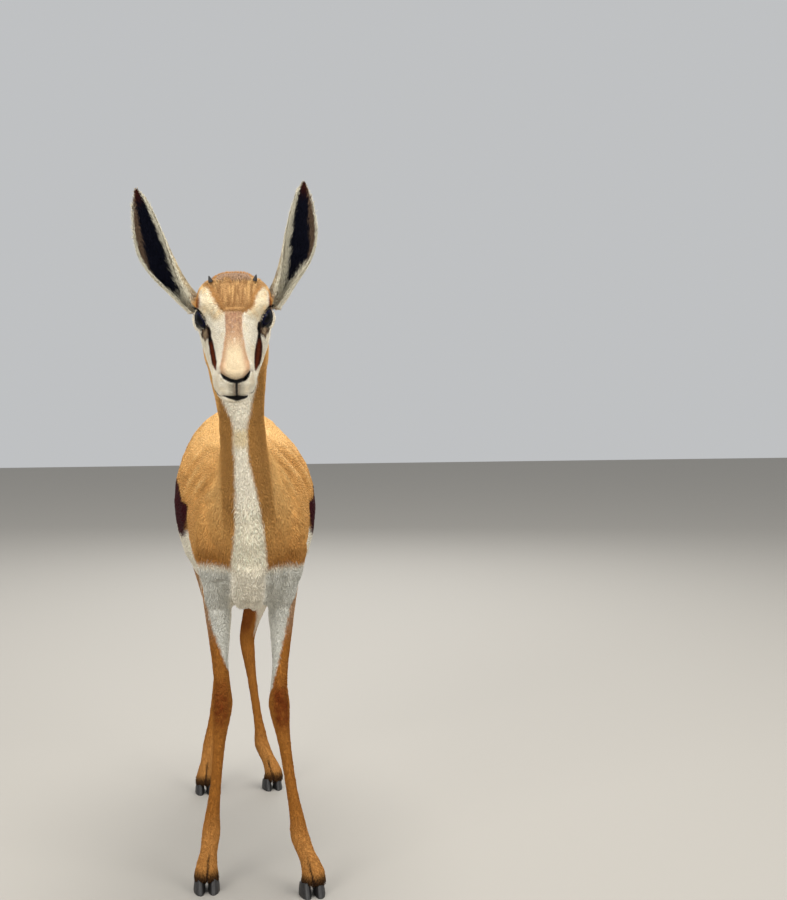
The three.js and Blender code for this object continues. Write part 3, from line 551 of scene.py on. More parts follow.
def head_colour(colour, p):
    u, v, w = head_places(p)
    across, down = face_places(p)
    wander, fine = speckle(p, 9, 8), speckle(p, 2.6, 9)
    streak = speckle(np.column_stack((across / 1.6, down / 11, v * 0 + 3)), 1, 12)
    rough = 1.1 * wander + 0.7 * fine
    here = head_share(p)
    face = np.tile(HAIR["white"], (len(p), 1))
    face = paint(face, "cream", 0.35 * rise(wander, -0.2, 0.9))
    # tan from behind the eye down to the corner of the jaw
    back_edge = np.where(v < 0, 44 - 1.25 * v, 44)
    off_throat = np.maximum(rise(np.abs(w), 13, 20), rise(u, 34, 20))
    tan = rise(u + 2 * rough, back_edge + 5, back_edge - 5) * off_throat
    face = face + (colour - face) * tan[:, None]
    # forehead, with darker streaks, down to the blaze
    half = np.interp(down, FOREHEAD_HALF[0], FOREHEAD_HALF[1]) + 2.2 * rough
    top = rise(v, 14, 26)
    inside = half - np.abs(across - 1.0)
    patch = rise(inside, -3.5, 2.5) * rise(down + 1.5 * rough, -4.5, -10.5) * top
    face = paint(face, "forehead", patch)
    face = paint(face, "fawn_light", 0.45 * patch * rise(streak, 0.0, 0.7) * rise(inside, 4, 12))
    streaked = rise(streak + 0.5 * rise(inside, 12, 2), 0.1, -0.5) * rise(np.abs(across), 36, 24)
    face = paint(face, "streak", 0.6 * patch * streaked)
    face = paint(face, "fawn_deep", 0.6 * patch * rise(inside, 9, 2) * rise(down, -42, -34))
    temple = rise(np.abs(across), 38.5, 42.5) * rise(down, -9, -14) * rise(u, 74, 66) * rise(v, 2, 14)
    face = paint(face, "fawn_deep", temple * top)
    face = paint(face, "fawn_deep", 0.9 * top * rise(u, 24, 10))
    from_crown = np.hypot(w, u - 40) / 27
    tuft = top * rise(down + 1.5 * rough, -42.5, -45.5) * rise(from_crown + 0.08 * rough, 1.1, 0.85)
    face = paint(face, "crown", 0.95 * tuft)
    face = paint(face, "crown_dark", 0.75 * tuft * rise(speckle(p, 4.5, 14) + 0.5 * fine, 0.2, 0.8))
    beside_brow = rise(np.abs(np.abs(across - 0.5) - 42), 3.4, 1.2) * within(down, -24, -10, 3) * rise(u, 48, 56)
    face = paint(face, "knee", 0.7 * top * beside_brow)
    brow = within(np.abs(across), 14, 38, 4) * within(down, -38, -4, 6) * (1 - patch) * top
    face = paint(face, "cream", 0.55 * brow)
    face = paint(face, "fawn_light", 0.5 * brow * rise(wander + 0.8 * fine, 0.0, 0.9))
    face = paint(face, "streak", 0.45 * patch * within(down, -19, -7, 3) * rise(inside, -2, 4))
    # the blaze down the nose
    low = np.interp(down, BLAZE_EDGES[0], BLAZE_EDGES[1])
    high = np.interp(down, BLAZE_EDGES[0], BLAZE_EDGES[2])
    middle = (low + high) / 2
    wavy = across + 0.6 * rough
    blaze = rise(wavy, low - 1.2, low + 1.2) * rise(wavy, high + 1.2, high - 1.2)
    nose_end = np.interp(across, *np.array(NOSTRIL_LINE).T)
    blaze = blaze * rise(down, -11, -7) * rise(v, -16, -8) * rise(down, nose_end + 1, nose_end - 1.5)
    face = paint(face, "blaze", blaze)
    face = paint(face, "blaze_red", blaze * 0.9 * rise(down, 26, 2) * rise(fine + 0.6 * streak, -0.7, 0.5))
    face = paint(face, "white", blaze * 0.55 * within(down, 2, 34, 6) * rise(streak + 0.7 * fine, 0.3, 0.9))
    core = 1 - np.abs(across - middle) / np.maximum((high - low) / 2, 1)
    # paler cream down the middle of the blaze on the muzzle pad: a painted highlight on its bulge
    face = paint(face, "nose_highlight", blaze * rise(down, 14, 40) * rise(core, 0.05, 0.55) * 0.95)
    # the dark stripe from the eye towards the mouth
    for sign, line in EYE_STRIPES.items():
        gap, along = away_from(across, down, line)
        size = np.interp(along, *EYE_STRIPE_HALF[sign]) + 0.3 * rough
        here_side = (w * sign > 0) * rise(v, -16, -10)
        face = paint(face, "stripe", rise(gap, size + 0.9, size - 0.7) * here_side)
        blackest = np.maximum(rise(along, 0.5, 0.34), 0.6 * rise(gap, 0.6, 2.4))
        face = paint(face, "black", rise(gap, size + 0.4, size - 0.6) * blackest * here_side)
    # round the eyes: the dark edge of the lids, and the taupe patch below the inner corner
    for sign in (1, -1):
        mine = (w * sign > 0) * rise(u, 71, 76)
        gap, along = away_from(across, down, TEAR_PATCH[sign])
        size = np.interp(along, (0, 0.45, 1), (2.6, 3.3, 0.5))
        face = paint(face, "dusk", rise(gap, size + 2.3, size + 0.9) * rise(along, 0.95, 0.6) * mine)
        face = paint(face, "taupe", rise(gap, size + 0.7, size - 0.5) * mine)
        face = paint(face, "cream", 0.25 * rise(gap, size - 0.5, size - 2.5) * mine)
        gap, before = lid_gap(p, sign)
        near = (before > -1) & (np.linalg.norm(p - ball_middle(sign), axis=1) < 23)
        # greyish taupe in the crease above the upper lid: painted shade
        face = paint(face, "taupe", 0.35 * rise(gap, 4.5, 2.0) * near * rise(v, 22, 27))
        face = paint(face, "black", rise(gap, 1.7, 0.9) * near)
    # nostrils, the groove below them, and the mouth
    ahead = rise(u, *MUZZLE)
    gap, along = away_from(across, down, PHILTRUM_LINE)
    on_lip = ahead * rise(down, 70, 76) * rise(down, 96, 90)
    # grey over the upper lip beside its groove, taupe nearer to it: painted shade
    face = paint(face, "lip_shade", rise(gap, 13, 7) * on_lip)
    face = paint(face, "taupe", 0.6 * rise(gap, 7, 2) * on_lip)
    face = paint(face, "black", rise(gap, 1.9, 0.9) * ahead)
    gap, along = away_from(across, down, NOSTRIL_LINE)
    size = np.interp(along, (0, 0.14, 0.32, 0.5, 0.68, 0.86, 1), (0.8, 2.3, 2.3, 2.4, 2.3, 2.3, 0.8))
    # a darker band just above the nostrils, where the pad turns under: painted shade
    face = paint(face, "taupe", 0.5 * rise(gap, size + 5, size + 0.5) * ahead * (down < nose_end))
    face = paint(face, "black", rise(gap, size + 0.7, size - 0.5) * ahead)
    gap, along = away_from(across, down, MOUTH_LINE)
    size = np.interp(along, (0, 0.2, 0.5, 0.8, 1), (0.6, 1.8, 3.4, 1.8, 0.6))
    face = paint(face, "black", rise(gap, size + 0.6, size - 0.6) * rise(u, 157, 163))
    # the lips' line runs on along the side of the jaw
    lips = np.interp(u, (138, 156, 180), (-12.5, -15.5, -16.5))
    face = paint(face, "dusk", rise(np.abs(v - lips), 1.5, 0.6) * within(u, 140, 181, 3) * rise(np.abs(w), 8, 11))
    return colour + (face - colour) * here[:, None]


# Where the dark inside of the ear, its bare skin and painted shade of the cup, begins and ends round the roll, by the
# way up the ear
EAR_DARK = np.array(
    [
        (0.1, 0.3, 0.32),
        (0.2, 0.15, 0.5),
        (0.3, 0.0, 0.7),
        (0.42, -0.18, 0.78),
        (0.54, -0.32, 0.6),
        (0.7, -0.48, 0.5),
        (0.85, -0.56, 0.55),
        (1, -0.7, 0.7),
    ]
).T


def ear_colour(colour, p, n, ear):
    """Fawn behind, pale inside with a dark rim and dark streaks."""
    t, share, near, into = ear_places(p, n, ear)
    fine = speckle(p, 3.5, 21)
    hue = np.tile(HAIR["ear_back"], (len(p), 1))
    hue = paint(hue, "cream", 0.5 * rise(speckle(p, 12, 22), -0.5, 0.8))
    hue = paint(hue, "white", 0.95 * rise(t, 0.3, 0.14) * rise(share, -0.3, 0.1))
    hue = paint(hue, "taupe", 0.6 * rise(t, 0.16, 0.08) * rise(share, 0.0, -0.3))
    hue = paint(hue, "ear_rim", rise(np.abs(share), 0.8, 0.92))
    # inside the cup: dark bare skin, darkened further as painted shade of the cup
    inside = np.tile(HAIR["ear_skin_and_shade"], (len(p), 1))
    inside = paint(inside, "ear_tip", rise(t, 0.84, 0.97))
    low, high = (np.interp(t, EAR_DARK[0], EAR_DARK[k]) for k in (1, 2))
    if ear["sign"] > 0:  # seen more from the side, the left ear's dark inside, skin and painted shade, is narrower low down
        high = high - 0.35 * within(t, 0.15, 0.4, 0.06)
    ragged = share + 0.07 * fine
    inside = paint(inside, "taupe", 0.75 * rise(ragged, high - 0.1, high + 0.05) * rise(t, 0.3, 0.5))
    inside = paint(inside, "ear_rim", rise(ragged, high, high + 0.16) * rise(t, 0.5, 0.3))
    inside = paint(inside, "ear_rim", rise(ragged, low + 0.08, low - 0.08) * rise(t, 1.02, 0.93))
    inside = paint(inside, "ear_back", 0.75 * rise(ragged, low - 0.2, low - 0.4) * rise(t, 0.6, 0.4))
    inside = paint(inside, "ear_rim", rise(share, 0.84, 0.92) * rise(t, 1.0, 0.95))
    inside = paint(inside, "ear_rim", 0.9 * rise(t, 0.2, 0.1))
    hue = hue + (inside - hue) * rise(into, -0.25, 0.15)[:, None]
    from_root = np.where(share > -0.2, rise(t, -0.05, 0.0), rise(t, 0.03, 0.1))
    return colour + (hue - colour) * (near * from_root)[:, None]


# Z, X and Y of the tail's middle line
TAIL_LINE = np.array([(460, -6, 505), (494, -7, 504), (530, -8, 502), (562, -9, 496), (584, -9, 482), (592, -9, 462)]).T


def tail_share(p):
    """How much a point belongs to the tail."""
    x, y, z = p.T
    middle_x, middle_y = (np.interp(z, TAIL_LINE[0], TAIL_LINE[k]) for k in (1, 2))
    return rise(np.hypot(x - middle_x, y - middle_y), 17, 12) * (y > 470) * (z > 380)


def coat_colour(p, n):
    """The colour of skin and hair at places with these normals."""
    colour = body_colour(p, n)
    for name in ("foreleg_left", "foreleg_right"):
        colour = foreleg_colour(colour, p, name)
    for name in ("hindleg_left", "hindleg_right"):
        colour = hindleg_colour(colour, p, name)
    colour = hoof_fringe(colour, p)
    colour = paint(colour, "white", tail_share(p))
    colour = paint(colour, "dusk", tail_share(p) * rise(p[:, 2], 500, 478))
    colour = head_colour(colour, p)
    for ear in EARS.values():
        colour = ear_colour(colour, p, n, ear)
    return np.clip(colour, 0, 1)


# ---------------------------------------------------------------------------------------------
# How the coat grows: the way it lies, and each tuft's length, width, lift and spacing


def blended(ways, aim, share):
    """The ways turned towards `aim`, as far as each point's share says."""
    return ways * (1 - share[:, None]) + np.asarray(aim, float) * share[:, None]


def coat_way(p, n):
    """Which way the hair lies at each point, flat on the skin."""
    x, y, z = p.T
    u, v, w = head_places(p)
    way = np.repeat(np.array([(0, 1, -0.3)]), len(p), axis=0)
    way = blended(way, (0, 0.12, -1), rise(z, 470, 400))
    way = blended(way, (0, 0.45, -1), rise(y, 320, 400) * rise(z, 560, 520))
    way = blended(way, (0, 0.3, -1), rise(y, 60, 0))
    way = blended(way, (0, 1, 0), rise(z, 440, 410) * within(y, 80, 360, 20) * (np.abs(x + 6) < 70))
    way = blended(way, (0, 0.1, -1), rise(y, 440, 480))
    # on the head the hair parts at a whorl between the eyes
    aside, back = HEAD_AXES[:, 0], HEAD_AXES[:, 1]
    spread = (np.where(w > 0, 1, -1) * rise(np.abs(w), 2, 30))[:, None]
    to_nose, to_crown = unit(aside * 0.35 * spread - back), unit(aside * 0.5 * spread + back)
    on_head = blended(to_crown, to_nose, rise(u + 8 * speckle(p, 12, 60), 66, 98))
    on_head = blended(on_head, back, rise(v, -8, -26))
    way = blended(way, on_head, head_share(p))
    for ear in EARS.values():
        t, share, near, into = ear_places(p, n, ear)
        along, outward = ear_axes(ear)[:2]
        lean = along + outward * (0.35 * np.clip(share, -1, 1) * (into < 0))[:, None]
        way = blended(way, lean, near * rise(t, 0.03, 0.1))
    way = blended(way, (0, 0.05, -1), tail_share(p))
    return unit(way - n * np.einsum("ij,ij->i", way, n)[:, None])


BUD_FEET = [middle_of(f"horn_bud_{side}") / MM - SHIFT for side in ("left", "right")]


def coat_growth(p, n):
    """Length, width, lift (mm) and count per square cm of the tufts at each point."""
    y, z = p[:, 1], p[:, 2]
    u, v, w = head_places(p)
    grow = np.tile((9.5, 1.4, 0.95, 19.0), (len(p), 1))

    def blend(values, amount):
        nonlocal grow
        grow = grow + (np.array(values, float) - grow) * np.clip(amount, 0, 1)[:, None]

    blend((6.5, 1.05, 0.7, 36), rise(z, 520, 580) * rise(y, 60, 0))
    blend((8.5, 1.15, 0.9, 32), rise(y, 30, -10) * rise(z, 540, 470) * rise(z, 380, 410))
    blend((5.5, 1.0, 0.6, 40), rise(z, 400, 350))
    blend((4.4, 0.85, 0.5, 50), rise(z, 290, 240))
    blend((6.5, 0.9, 1.2, 60), rise(z, 32, 24))
    here = head_share(p)
    blend((3.8, 0.75, 0.6, 90), here)
    blend((8, 0.85, 2.4, 75), here * rise(u, 50, 40) * rise(u, 4, 12) * rise(v, 40, 50) * rise(np.abs(w), 34, 24))
    for foot in BUD_FEET:
        blend((7.5, 0.8, 4.2, 110), here * rise(np.linalg.norm(p - foot, axis=1), 12, 7))
    blend((2.2, 0.6, 0.4, 130), here * rise(u, 120, 160))
    for ear in EARS.values():
        t, share, near, into = ear_places(p, n, ear)
        amount = near * rise(t, 0.03, 0.1)
        blend((5, 0.8, 0.8, 50), amount)
        blend((9, 0.9, 1.2, 26), amount * rise(into, 0, 0.3))
        blend((7, 0.7, 1.2, 70), amount * rise(np.abs(share), 0.75, 0.95))
        blend((3.6, 0.7, 0.3, 80), near * rise(t, 0.88, 0.97))
    blend((16, 1.6, 3.5, 40), tail_share(p))
    # none on the bare nose, the lips' edge or the lids
    grow[:, 3] *= 1 - rise(bare_share(p), 0.3, 0.6)
    return grow


def bare_share(p):
    """1 on the bare black skin of the nostrils, groove, mouth and lids."""
    u = head_places(p)[0]
    across, down = face_places(p)
    ahead = rise(u, *MUZZLE) * (p[:, 2] > CHIN_HEIGHT)
    bare = np.zeros(len(p))
    for line, size in ((NOSTRIL_LINE, 2.4), (PHILTRUM_LINE, 1.3), (MOUTH_LINE, 2.4)):
        gap = away_from(across, down, line)[0]
        bare = np.maximum(bare, rise(gap, size + 0.8, size - 0.4) * ahead)
    for sign in (1, -1):
        gap, before = lid_gap(p, sign)
        by_ball = (before > 0) * (np.linalg.norm(p - ball_middle(sign), axis=1) < 22)
        bare = np.maximum(bare, rise(gap, 1.6, 0.9) * by_ball)
    return bare


def coat_depth(p, n):
    """How far the skin lies inside the solids, in mm."""
    z, u = p[:, 2], head_places(p)[0]
    depth = np.full(len(p), 2.6)
    depth += (2.0 - depth) * rise(z, 420, 330)
    depth += (1.0 - depth) * rise(z, 290, 230)
    here = head_share(p)
    depth += (0.9 - depth) * here
    depth += (0.1 - depth) * here * rise(u, 140, 170)
    for sign in (1, -1):
        out = np.linalg.norm(p - ball_middle(sign), axis=1)
        depth += (0.0 - depth) * rise(out, 24, 17)
    for ear in EARS.values():
        t, share, near, into = ear_places(p, n, ear)
        depth += (0.2 - depth) * near * rise(t, 0.02, 0.12)
    return depth


# ---------------------------------------------------------------------------------------------
# Mesh tools


def alone(*objects):
    """Only these objects selected, the first one active."""
    bpy.ops.object.select_all(action="DESELECT")
    for item in objects:
        item.select_set(True)
    bpy.context.view_layer.objects.active = objects[0]


def edit_all(items, operator, **settings):
    """One edit mode operator on everything in these objects."""
    alone(*items)
    bpy.ops.object.mode_set(mode="EDIT")
    bpy.ops.mesh.select_all(action="SELECT")
    operator(**settings)
    bpy.ops.object.mode_set(mode="OBJECT")


def places_of(mesh, what="co"):
    flat = np.empty(len(mesh.vertices) * 3)
    mesh.vertices.foreach_get(what, flat)
    return flat.reshape(-1, 3)


def normals_of(mesh):
    return places_of(mesh, "normal")


def put_places(mesh, points):
    mesh.vertices.foreach_set("co", np.ascontiguousarray(points, np.float32).ravel())
    mesh.update()


SAME_PLACE = 0.00002  # vertices of the loose triangles closer than this are one, in metres


def copy_of(nodes, name):
    """One new object from copies of CAD nodes, their loose triangles merged."""
    copies = []
    for node in nodes:
        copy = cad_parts[node].copy()
        copy.data = copy.data.copy()
        copy.data.materials.clear()
        for key in list(copy.keys()):
            del copy[key]
        bpy.context.scene.collection.objects.link(copy)
        copy.hide_render = False
        copies.append(copy)
    edit_all(copies, bpy.ops.mesh.remove_doubles, threshold=SAME_PLACE)
    alone(*copies)
    if len(copies) > 1:
        bpy.ops.object.join()
    whole = bpy.context.view_layer.objects.active
    whole.name = whole.data.name = name
    return whole


def remeshed(item, size):
    """The object's mesh made again as one even net, `size` mm a side."""
    alone(item)
    net = item.modifiers.new("net", "REMESH")
    net.mode, net.voxel_size, net.use_smooth_shade = "VOXEL", size * MM, True
    bpy.ops.object.modifier_apply(modifier=net.name)


def evened(mesh, rounds, held=None, steps=(0.5, -0.53)):
    """Takes the facets out without shrinking: a step in and a step out, over and over."""
    ends = np.empty(len(mesh.edges) * 2, np.int32)
    mesh.edges.foreach_get("vertices", ends)
    a, b = ends.reshape(-1, 2).T
    points = places_of(mesh)
    count = len(points)
    share = np.bincount(a, minlength=count) + np.bincount(b, minlength=count)
    free = np.ones(count) if held is None else 1 - held
    for _ in range(rounds):
        for step in steps:
            for k in range(3):
                line = points[:, k]
                pull = np.bincount(a, line[b], count) + np.bincount(b, line[a], count)
                points[:, k] = line + step * free * (pull / share - line)
    put_places(mesh, points)


def cut_away(item, beyond):
    """Deletes the vertices that `beyond` marks."""
    net = bmesh.new()
    net.from_mesh(item.data)
    net.verts.ensure_lookup_table()
    bmesh.ops.delete(net, geom=[net.verts[i] for i in np.flatnonzero(beyond)], context="VERTS")
    net.to_mesh(item.data)
    net.free()
    item.data.update()


def colour_in(mesh, colours, name="Coat"):
    layer = mesh.color_attributes.new(name, "FLOAT_COLOR", "POINT")
    layer.data.foreach_set("color", np.column_stack((colours, np.ones(len(colours)))).astype(np.float32).ravel())


def number_in(mesh, values, name):
    layer = mesh.attributes.new(name, "FLOAT", "POINT")
    layer.data.foreach_set("value", np.asarray(values, np.float32))


def unwrap(item):
    """The skin laid flat in pieces of its own shape, as OFBake."""
    item.data.uv_layers.new(name="OFBake")
    edit_all([item], bpy.ops.uv.smart_project, angle_limit=math.radians(66), island_margin=0.002)


# ---------------------------------------------------------------------------------------------
# The skin: the flesh nodes as one surface, finer on the head and ears

LEG_PARTS = {"fore": ("shoulder", "forearm", "cannon"), "hind": ("thigh", "gaskin", "cannon")}
LEG_NODES = [f"{name}_{part}" for name, (kind, _) in LEGS.items() for part in LEG_PARTS[kind]]
BODY_NODES = ["torso", "neck", "tail", *LEG_NODES]
HEAD_NODES = ["head", "ear_left", "ear_right"]
BODY_NET, HEAD_NET = 3.0, 1.12  # mm between the net's vertices
BODY_ROUNDS, HEAD_ROUNDS, SOFT_ROUNDS = 40, 45, 70  # of smoothing
BRIDGE = 0.22  # how far each node is swelled, so that the gaps between them close


def eye_held(points):
    """Near the lids the net keeps its shape."""
    held = np.zeros(len(points))
    for sign in (1, -1):
        out = np.linalg.norm(points - ball_middle(sign), axis=1)
        held = np.maximum(held, 0.9 * rise(out, 20, 16))
    return held


def near_withers(points):
    """The crease where the neck's ridge meets the back, evened out."""
    y, z = points[:, 1], points[:, 2]
    return rise(np.hypot((y - 12) / 62, (z - 612) / 48), 1.0, 0.5) * rise(z, 555, 580)


def near_nostrils(points):
    """Where the solid's coarse nostrils are evened out, for finer ones to be pressed in."""
    u = head_places(points)[0]
    gap = away_from(*face_places(points), [(-17, 72), *NOSTRIL_LINE, (20, 68)])[0]
    return rise(gap, 8, 5) * rise(u, 146, 154) * (points[:, 2] > CHIN_HEIGHT)


def close_lids(points):
    """The skin drawn over the ball up to the edge of the opening, and behind the ball inside it."""
    for sign in (1, -1):
        middle = ball_middle(sign)
        gap, before = lid_gap(points, sign)
        rel = points - middle
        out = np.linalg.norm(rel, axis=1)
        open_here = gap < -0.2
        low = np.where(open_here, 0, BALL_RADIUS + 0.35)
        # from the lids' edge the skin leaves the ball slowly, and faster towards the nose
        past = np.maximum(gap, 0)
        slope = np.interp(rel @ eye_axes(sign)[0], (-10, 2), (0.6, 0.12))
        high = BALL_RADIUS + 0.6 + slope * past + 0.05 * past**2 + 6 * rise(before, 3, -2)
        high = np.where(open_here, BALL_RADIUS - 0.9, high)
        near = (out < 25) & (before > -3) & (gap < 13)
        points = np.where(near[:, None], middle + rel * (np.clip(out, low, high) / out)[:, None], points)
    return points


# How much lower the crown is than the solid's, by the way to the side
CROWN_DROP = ((0, 10, 16, 22, 28, 34, 42), (3.6, 3.2, 3.8, 6.0, 5.4, 1.8, 0))


def sculpt_head(points, normals):
    """Nostrils, lips, the groove below the nose, brow, cheek and crown, as soft moves of the net."""
    u, v, w = head_places(points)
    across, down = face_places(points)
    ahead = rise(u, *MUZZLE) * (points[:, 2] > CHIN_HEIGHT)
    move = np.zeros(len(points))
    gap, along = away_from(across, down, NOSTRIL_LINE)
    deep = np.interp(along, (0, 0.1, 0.3, 0.5, 0.7, 0.9, 1), (0.6, 3.6, 2.6, 1.2, 2.6, 3.6, 0.6))
    move -= deep * rise(gap, 3.2, 0.3) * ahead
    gap, along = away_from(across, down, np.array(NOSTRIL_LINE) - (0, 7.5))
    move += 1.5 * rise(gap, 7.5, 1) * ahead
    gap, along = away_from(across, down, PHILTRUM_LINE)
    move -= 1.1 * rise(gap, 2.4, 0.2) * ahead
    gap, along = away_from(across, down, MOUTH_LINE)
    move -= 2.6 * rise(gap, 2.8, 0.3) * ahead
    move += 0.7 * within(gap, 3.2, 6.5, 1.2) * ahead
    for sign in (1, -1):
        gap, along = away_from(across, down, [(sign * 38, -20), (sign * 30, -18), (sign * 21, -6)])
        move += 1.8 * rise(gap, 9, 1) * rise(v, 16, 26) * (w * sign > 0)
        gap, along = away_from(across, down, EYE_STRIPES[sign])
        move -= 0.8 * rise(gap, 7, 1) * (w * sign > 0) * rise(v, -14, -6)
    move -= np.interp(np.abs(w), *CROWN_DROP) * rise(u, 88, 40) * rise(u, 0, 16) * rise(v, 26, 40)
    return close_lids(points + normals * move[:, None])


# Hollows of the flank in side view, as (Y, Z) lines with depth and half width: behind the shoulder,
# before the thigh, between thigh and rump, and two faint ones between the ribs
HOLLOWS = [
    ([(50, 612), (112, 548), (106, 462)], 2.6, 20),
    ([(330, 590), (318, 520), (342, 462)], 4.0, 30),
    ([(438, 560), (452, 492), (446, 440)], 2.2, 14),
    ([(190, 585), (205, 530), (200, 470)], 0.9, 16),
    ([(240, 588), (258, 530), (250, 470)], 0.9, 16),
]


def sculpt_body(points, normals):
    """The furrow on each side of the neck, folds over the shoulders, hollows and the brisket's lobe."""
    x, y, z = points.T
    move = 1.3 * fold_height(points)
    for k in (1, 2):
        edge = np.interp(z, NECK_EDGES[0], NECK_EDGES[k])
        move -= 2.6 * rise(np.abs(x - edge), 9, 1) * rise(y, -25, -50) * rise(z, 460, 490) * rise(z, 630, 590)
    flank = rise(np.abs(x + 8), 30, 50)
    for line, deep, wide in HOLLOWS:
        gap = away_from(y, z, line)[0]
        move -= deep * rise(gap, wide, 1) * flank
    lobe = rise(y, 15, -15) * rise(z, 460, 430) * rise(z, 385, 396)
    move += 6.5 * lobe * rise(np.abs(x + 10), 21, 10)
    move -= 4.0 * lobe * rise(np.abs(np.abs(x + 10) - 26), 8, 1)
    move -= 2.5 * lobe * rise(np.abs(x + 10), 6, 1) * rise(z, 424, 404)
    return points + normals * move[:, None]


def build_skin(nodes, name, size, rounds, keep, sculpt, soft, held_by=None):
    """One even net round these nodes, sunk under the coat's depth, sculpted and cut where `keep` ends."""
    skin = copy_of(nodes, name)
    edit_all([skin], bpy.ops.transform.shrink_fatten, value=BRIDGE * MM)
    remeshed(skin, size)
    mesh = skin.data
    evened(mesh, rounds, held_by(drawn(places_of(mesh))) if held_by else None)
    points, normals = drawn(places_of(mesh)), normals_of(mesh)
    put_places(mesh, placed(points - normals * (coat_depth(points, normals) + BRIDGE)[:, None]))
    evened(mesh, SOFT_ROUNDS, 1 - soft(drawn(places_of(mesh))), (0.5,))
    put_places(mesh, placed(sculpt(drawn(places_of(mesh)), normals_of(mesh))))
    cut_away(skin, ~keep(drawn(places_of(mesh))))
    points, normals = drawn(places_of(mesh)), normals_of(mesh)
    colour_in(mesh, coat_colour(points, normals))
    number_in(mesh, bare_share(points), "Bare")
    unwrap(skin)
    alone(skin)
    bpy.ops.object.shade_smooth()
    return skin


def below_lap(p):
    return above_cut(p) < NECK_CUT["lap"]


def above_lap(p):
    return above_cut(p) > -NECK_CUT["lap"]


skin_body = build_skin(
    [*BODY_NODES, "head"], "skin_body", BODY_NET, BODY_ROUNDS, below_lap, sculpt_body, near_withers
)
skin_head = build_skin(
    [*HEAD_NODES, "neck"], "skin_head", HEAD_NET, HEAD_ROUNDS, above_lap, sculpt_head, near_nostrils, eye_held
)
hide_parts(*BODY_NODES)
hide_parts(*HEAD_NODES)

# ---------------------------------------------------------------------------------------------
# The coat: tufts rooted all over the skin, joined to one mesh for each region


def roots_on(skin, chooser, seed):
    """Places, normals and OFBake spots of tuft roots, spread as densely as the coat grows there."""
    mesh = skin.data
    mesh.calc_loop_triangles()
    count = len(mesh.loop_triangles)
    corners, loops = np.empty(count * 3, np.int32), np.empty(count * 3, np.int32)
    mesh.loop_triangles.foreach_get("vertices", corners)
    mesh.loop_triangles.foreach_get("loops", loops)
    corners, loops = corners.reshape(-1, 3), loops.reshape(-1, 3)
    points, normals = drawn(places_of(mesh)), normals_of(mesh)
    spots = np.empty(len(mesh.loops) * 2)
    mesh.uv_layers["OFBake"].data.foreach_get("uv", spots)
    spots = spots.reshape(-1, 2)
    middles = points[corners].mean(axis=1)
    facing = unit(normals[corners].mean(axis=1))
    first, second, third = points[corners].transpose(1, 0, 2)
    area = np.linalg.norm(np.cross(second - first, third - first), axis=1) / 2
    wanted = area / 100 * coat_growth(middles, facing)[:, 3] * chooser(middles)
    draw = np.random.default_rng(seed)
    total = int(wanted.sum())
    reach = np.cumsum(wanted)
    picks = np.searchsorted(reach, (np.arange(total) + draw.random(total)) / total * reach[-1])
    picks = np.minimum(picks, count - 1)
    a, b = draw.random((2, total))
    flip = a + b > 1
    a[flip], b[flip] = 1 - a[flip], 1 - b[flip]
    weight = np.column_stack((1 - a - b, a, b))[:, :, None]
    return (
        (points[corners[picks]] * weight).sum(axis=1),
        unit((normals[corners[picks]] * weight).sum(axis=1)),
        (spots[loops[picks]] * weight).sum(axis=1),
        draw,
    )


BLADE = ((0.45, 1.0, 0.75),)  # share of the length, of the width and of the lift at each ring
LASH = ((0.3, 1.0, 0.6), (0.7, 0.75, 0.95))
ROOT_DEPTH = 0.4  # mm that a tuft's root stands in the skin
STRAY = 11.0  # degrees that tufts turn from the coat's way, most of them less
PATCH = 0.0015  # half the spot of the unwrap that a tuft takes its baked colour from


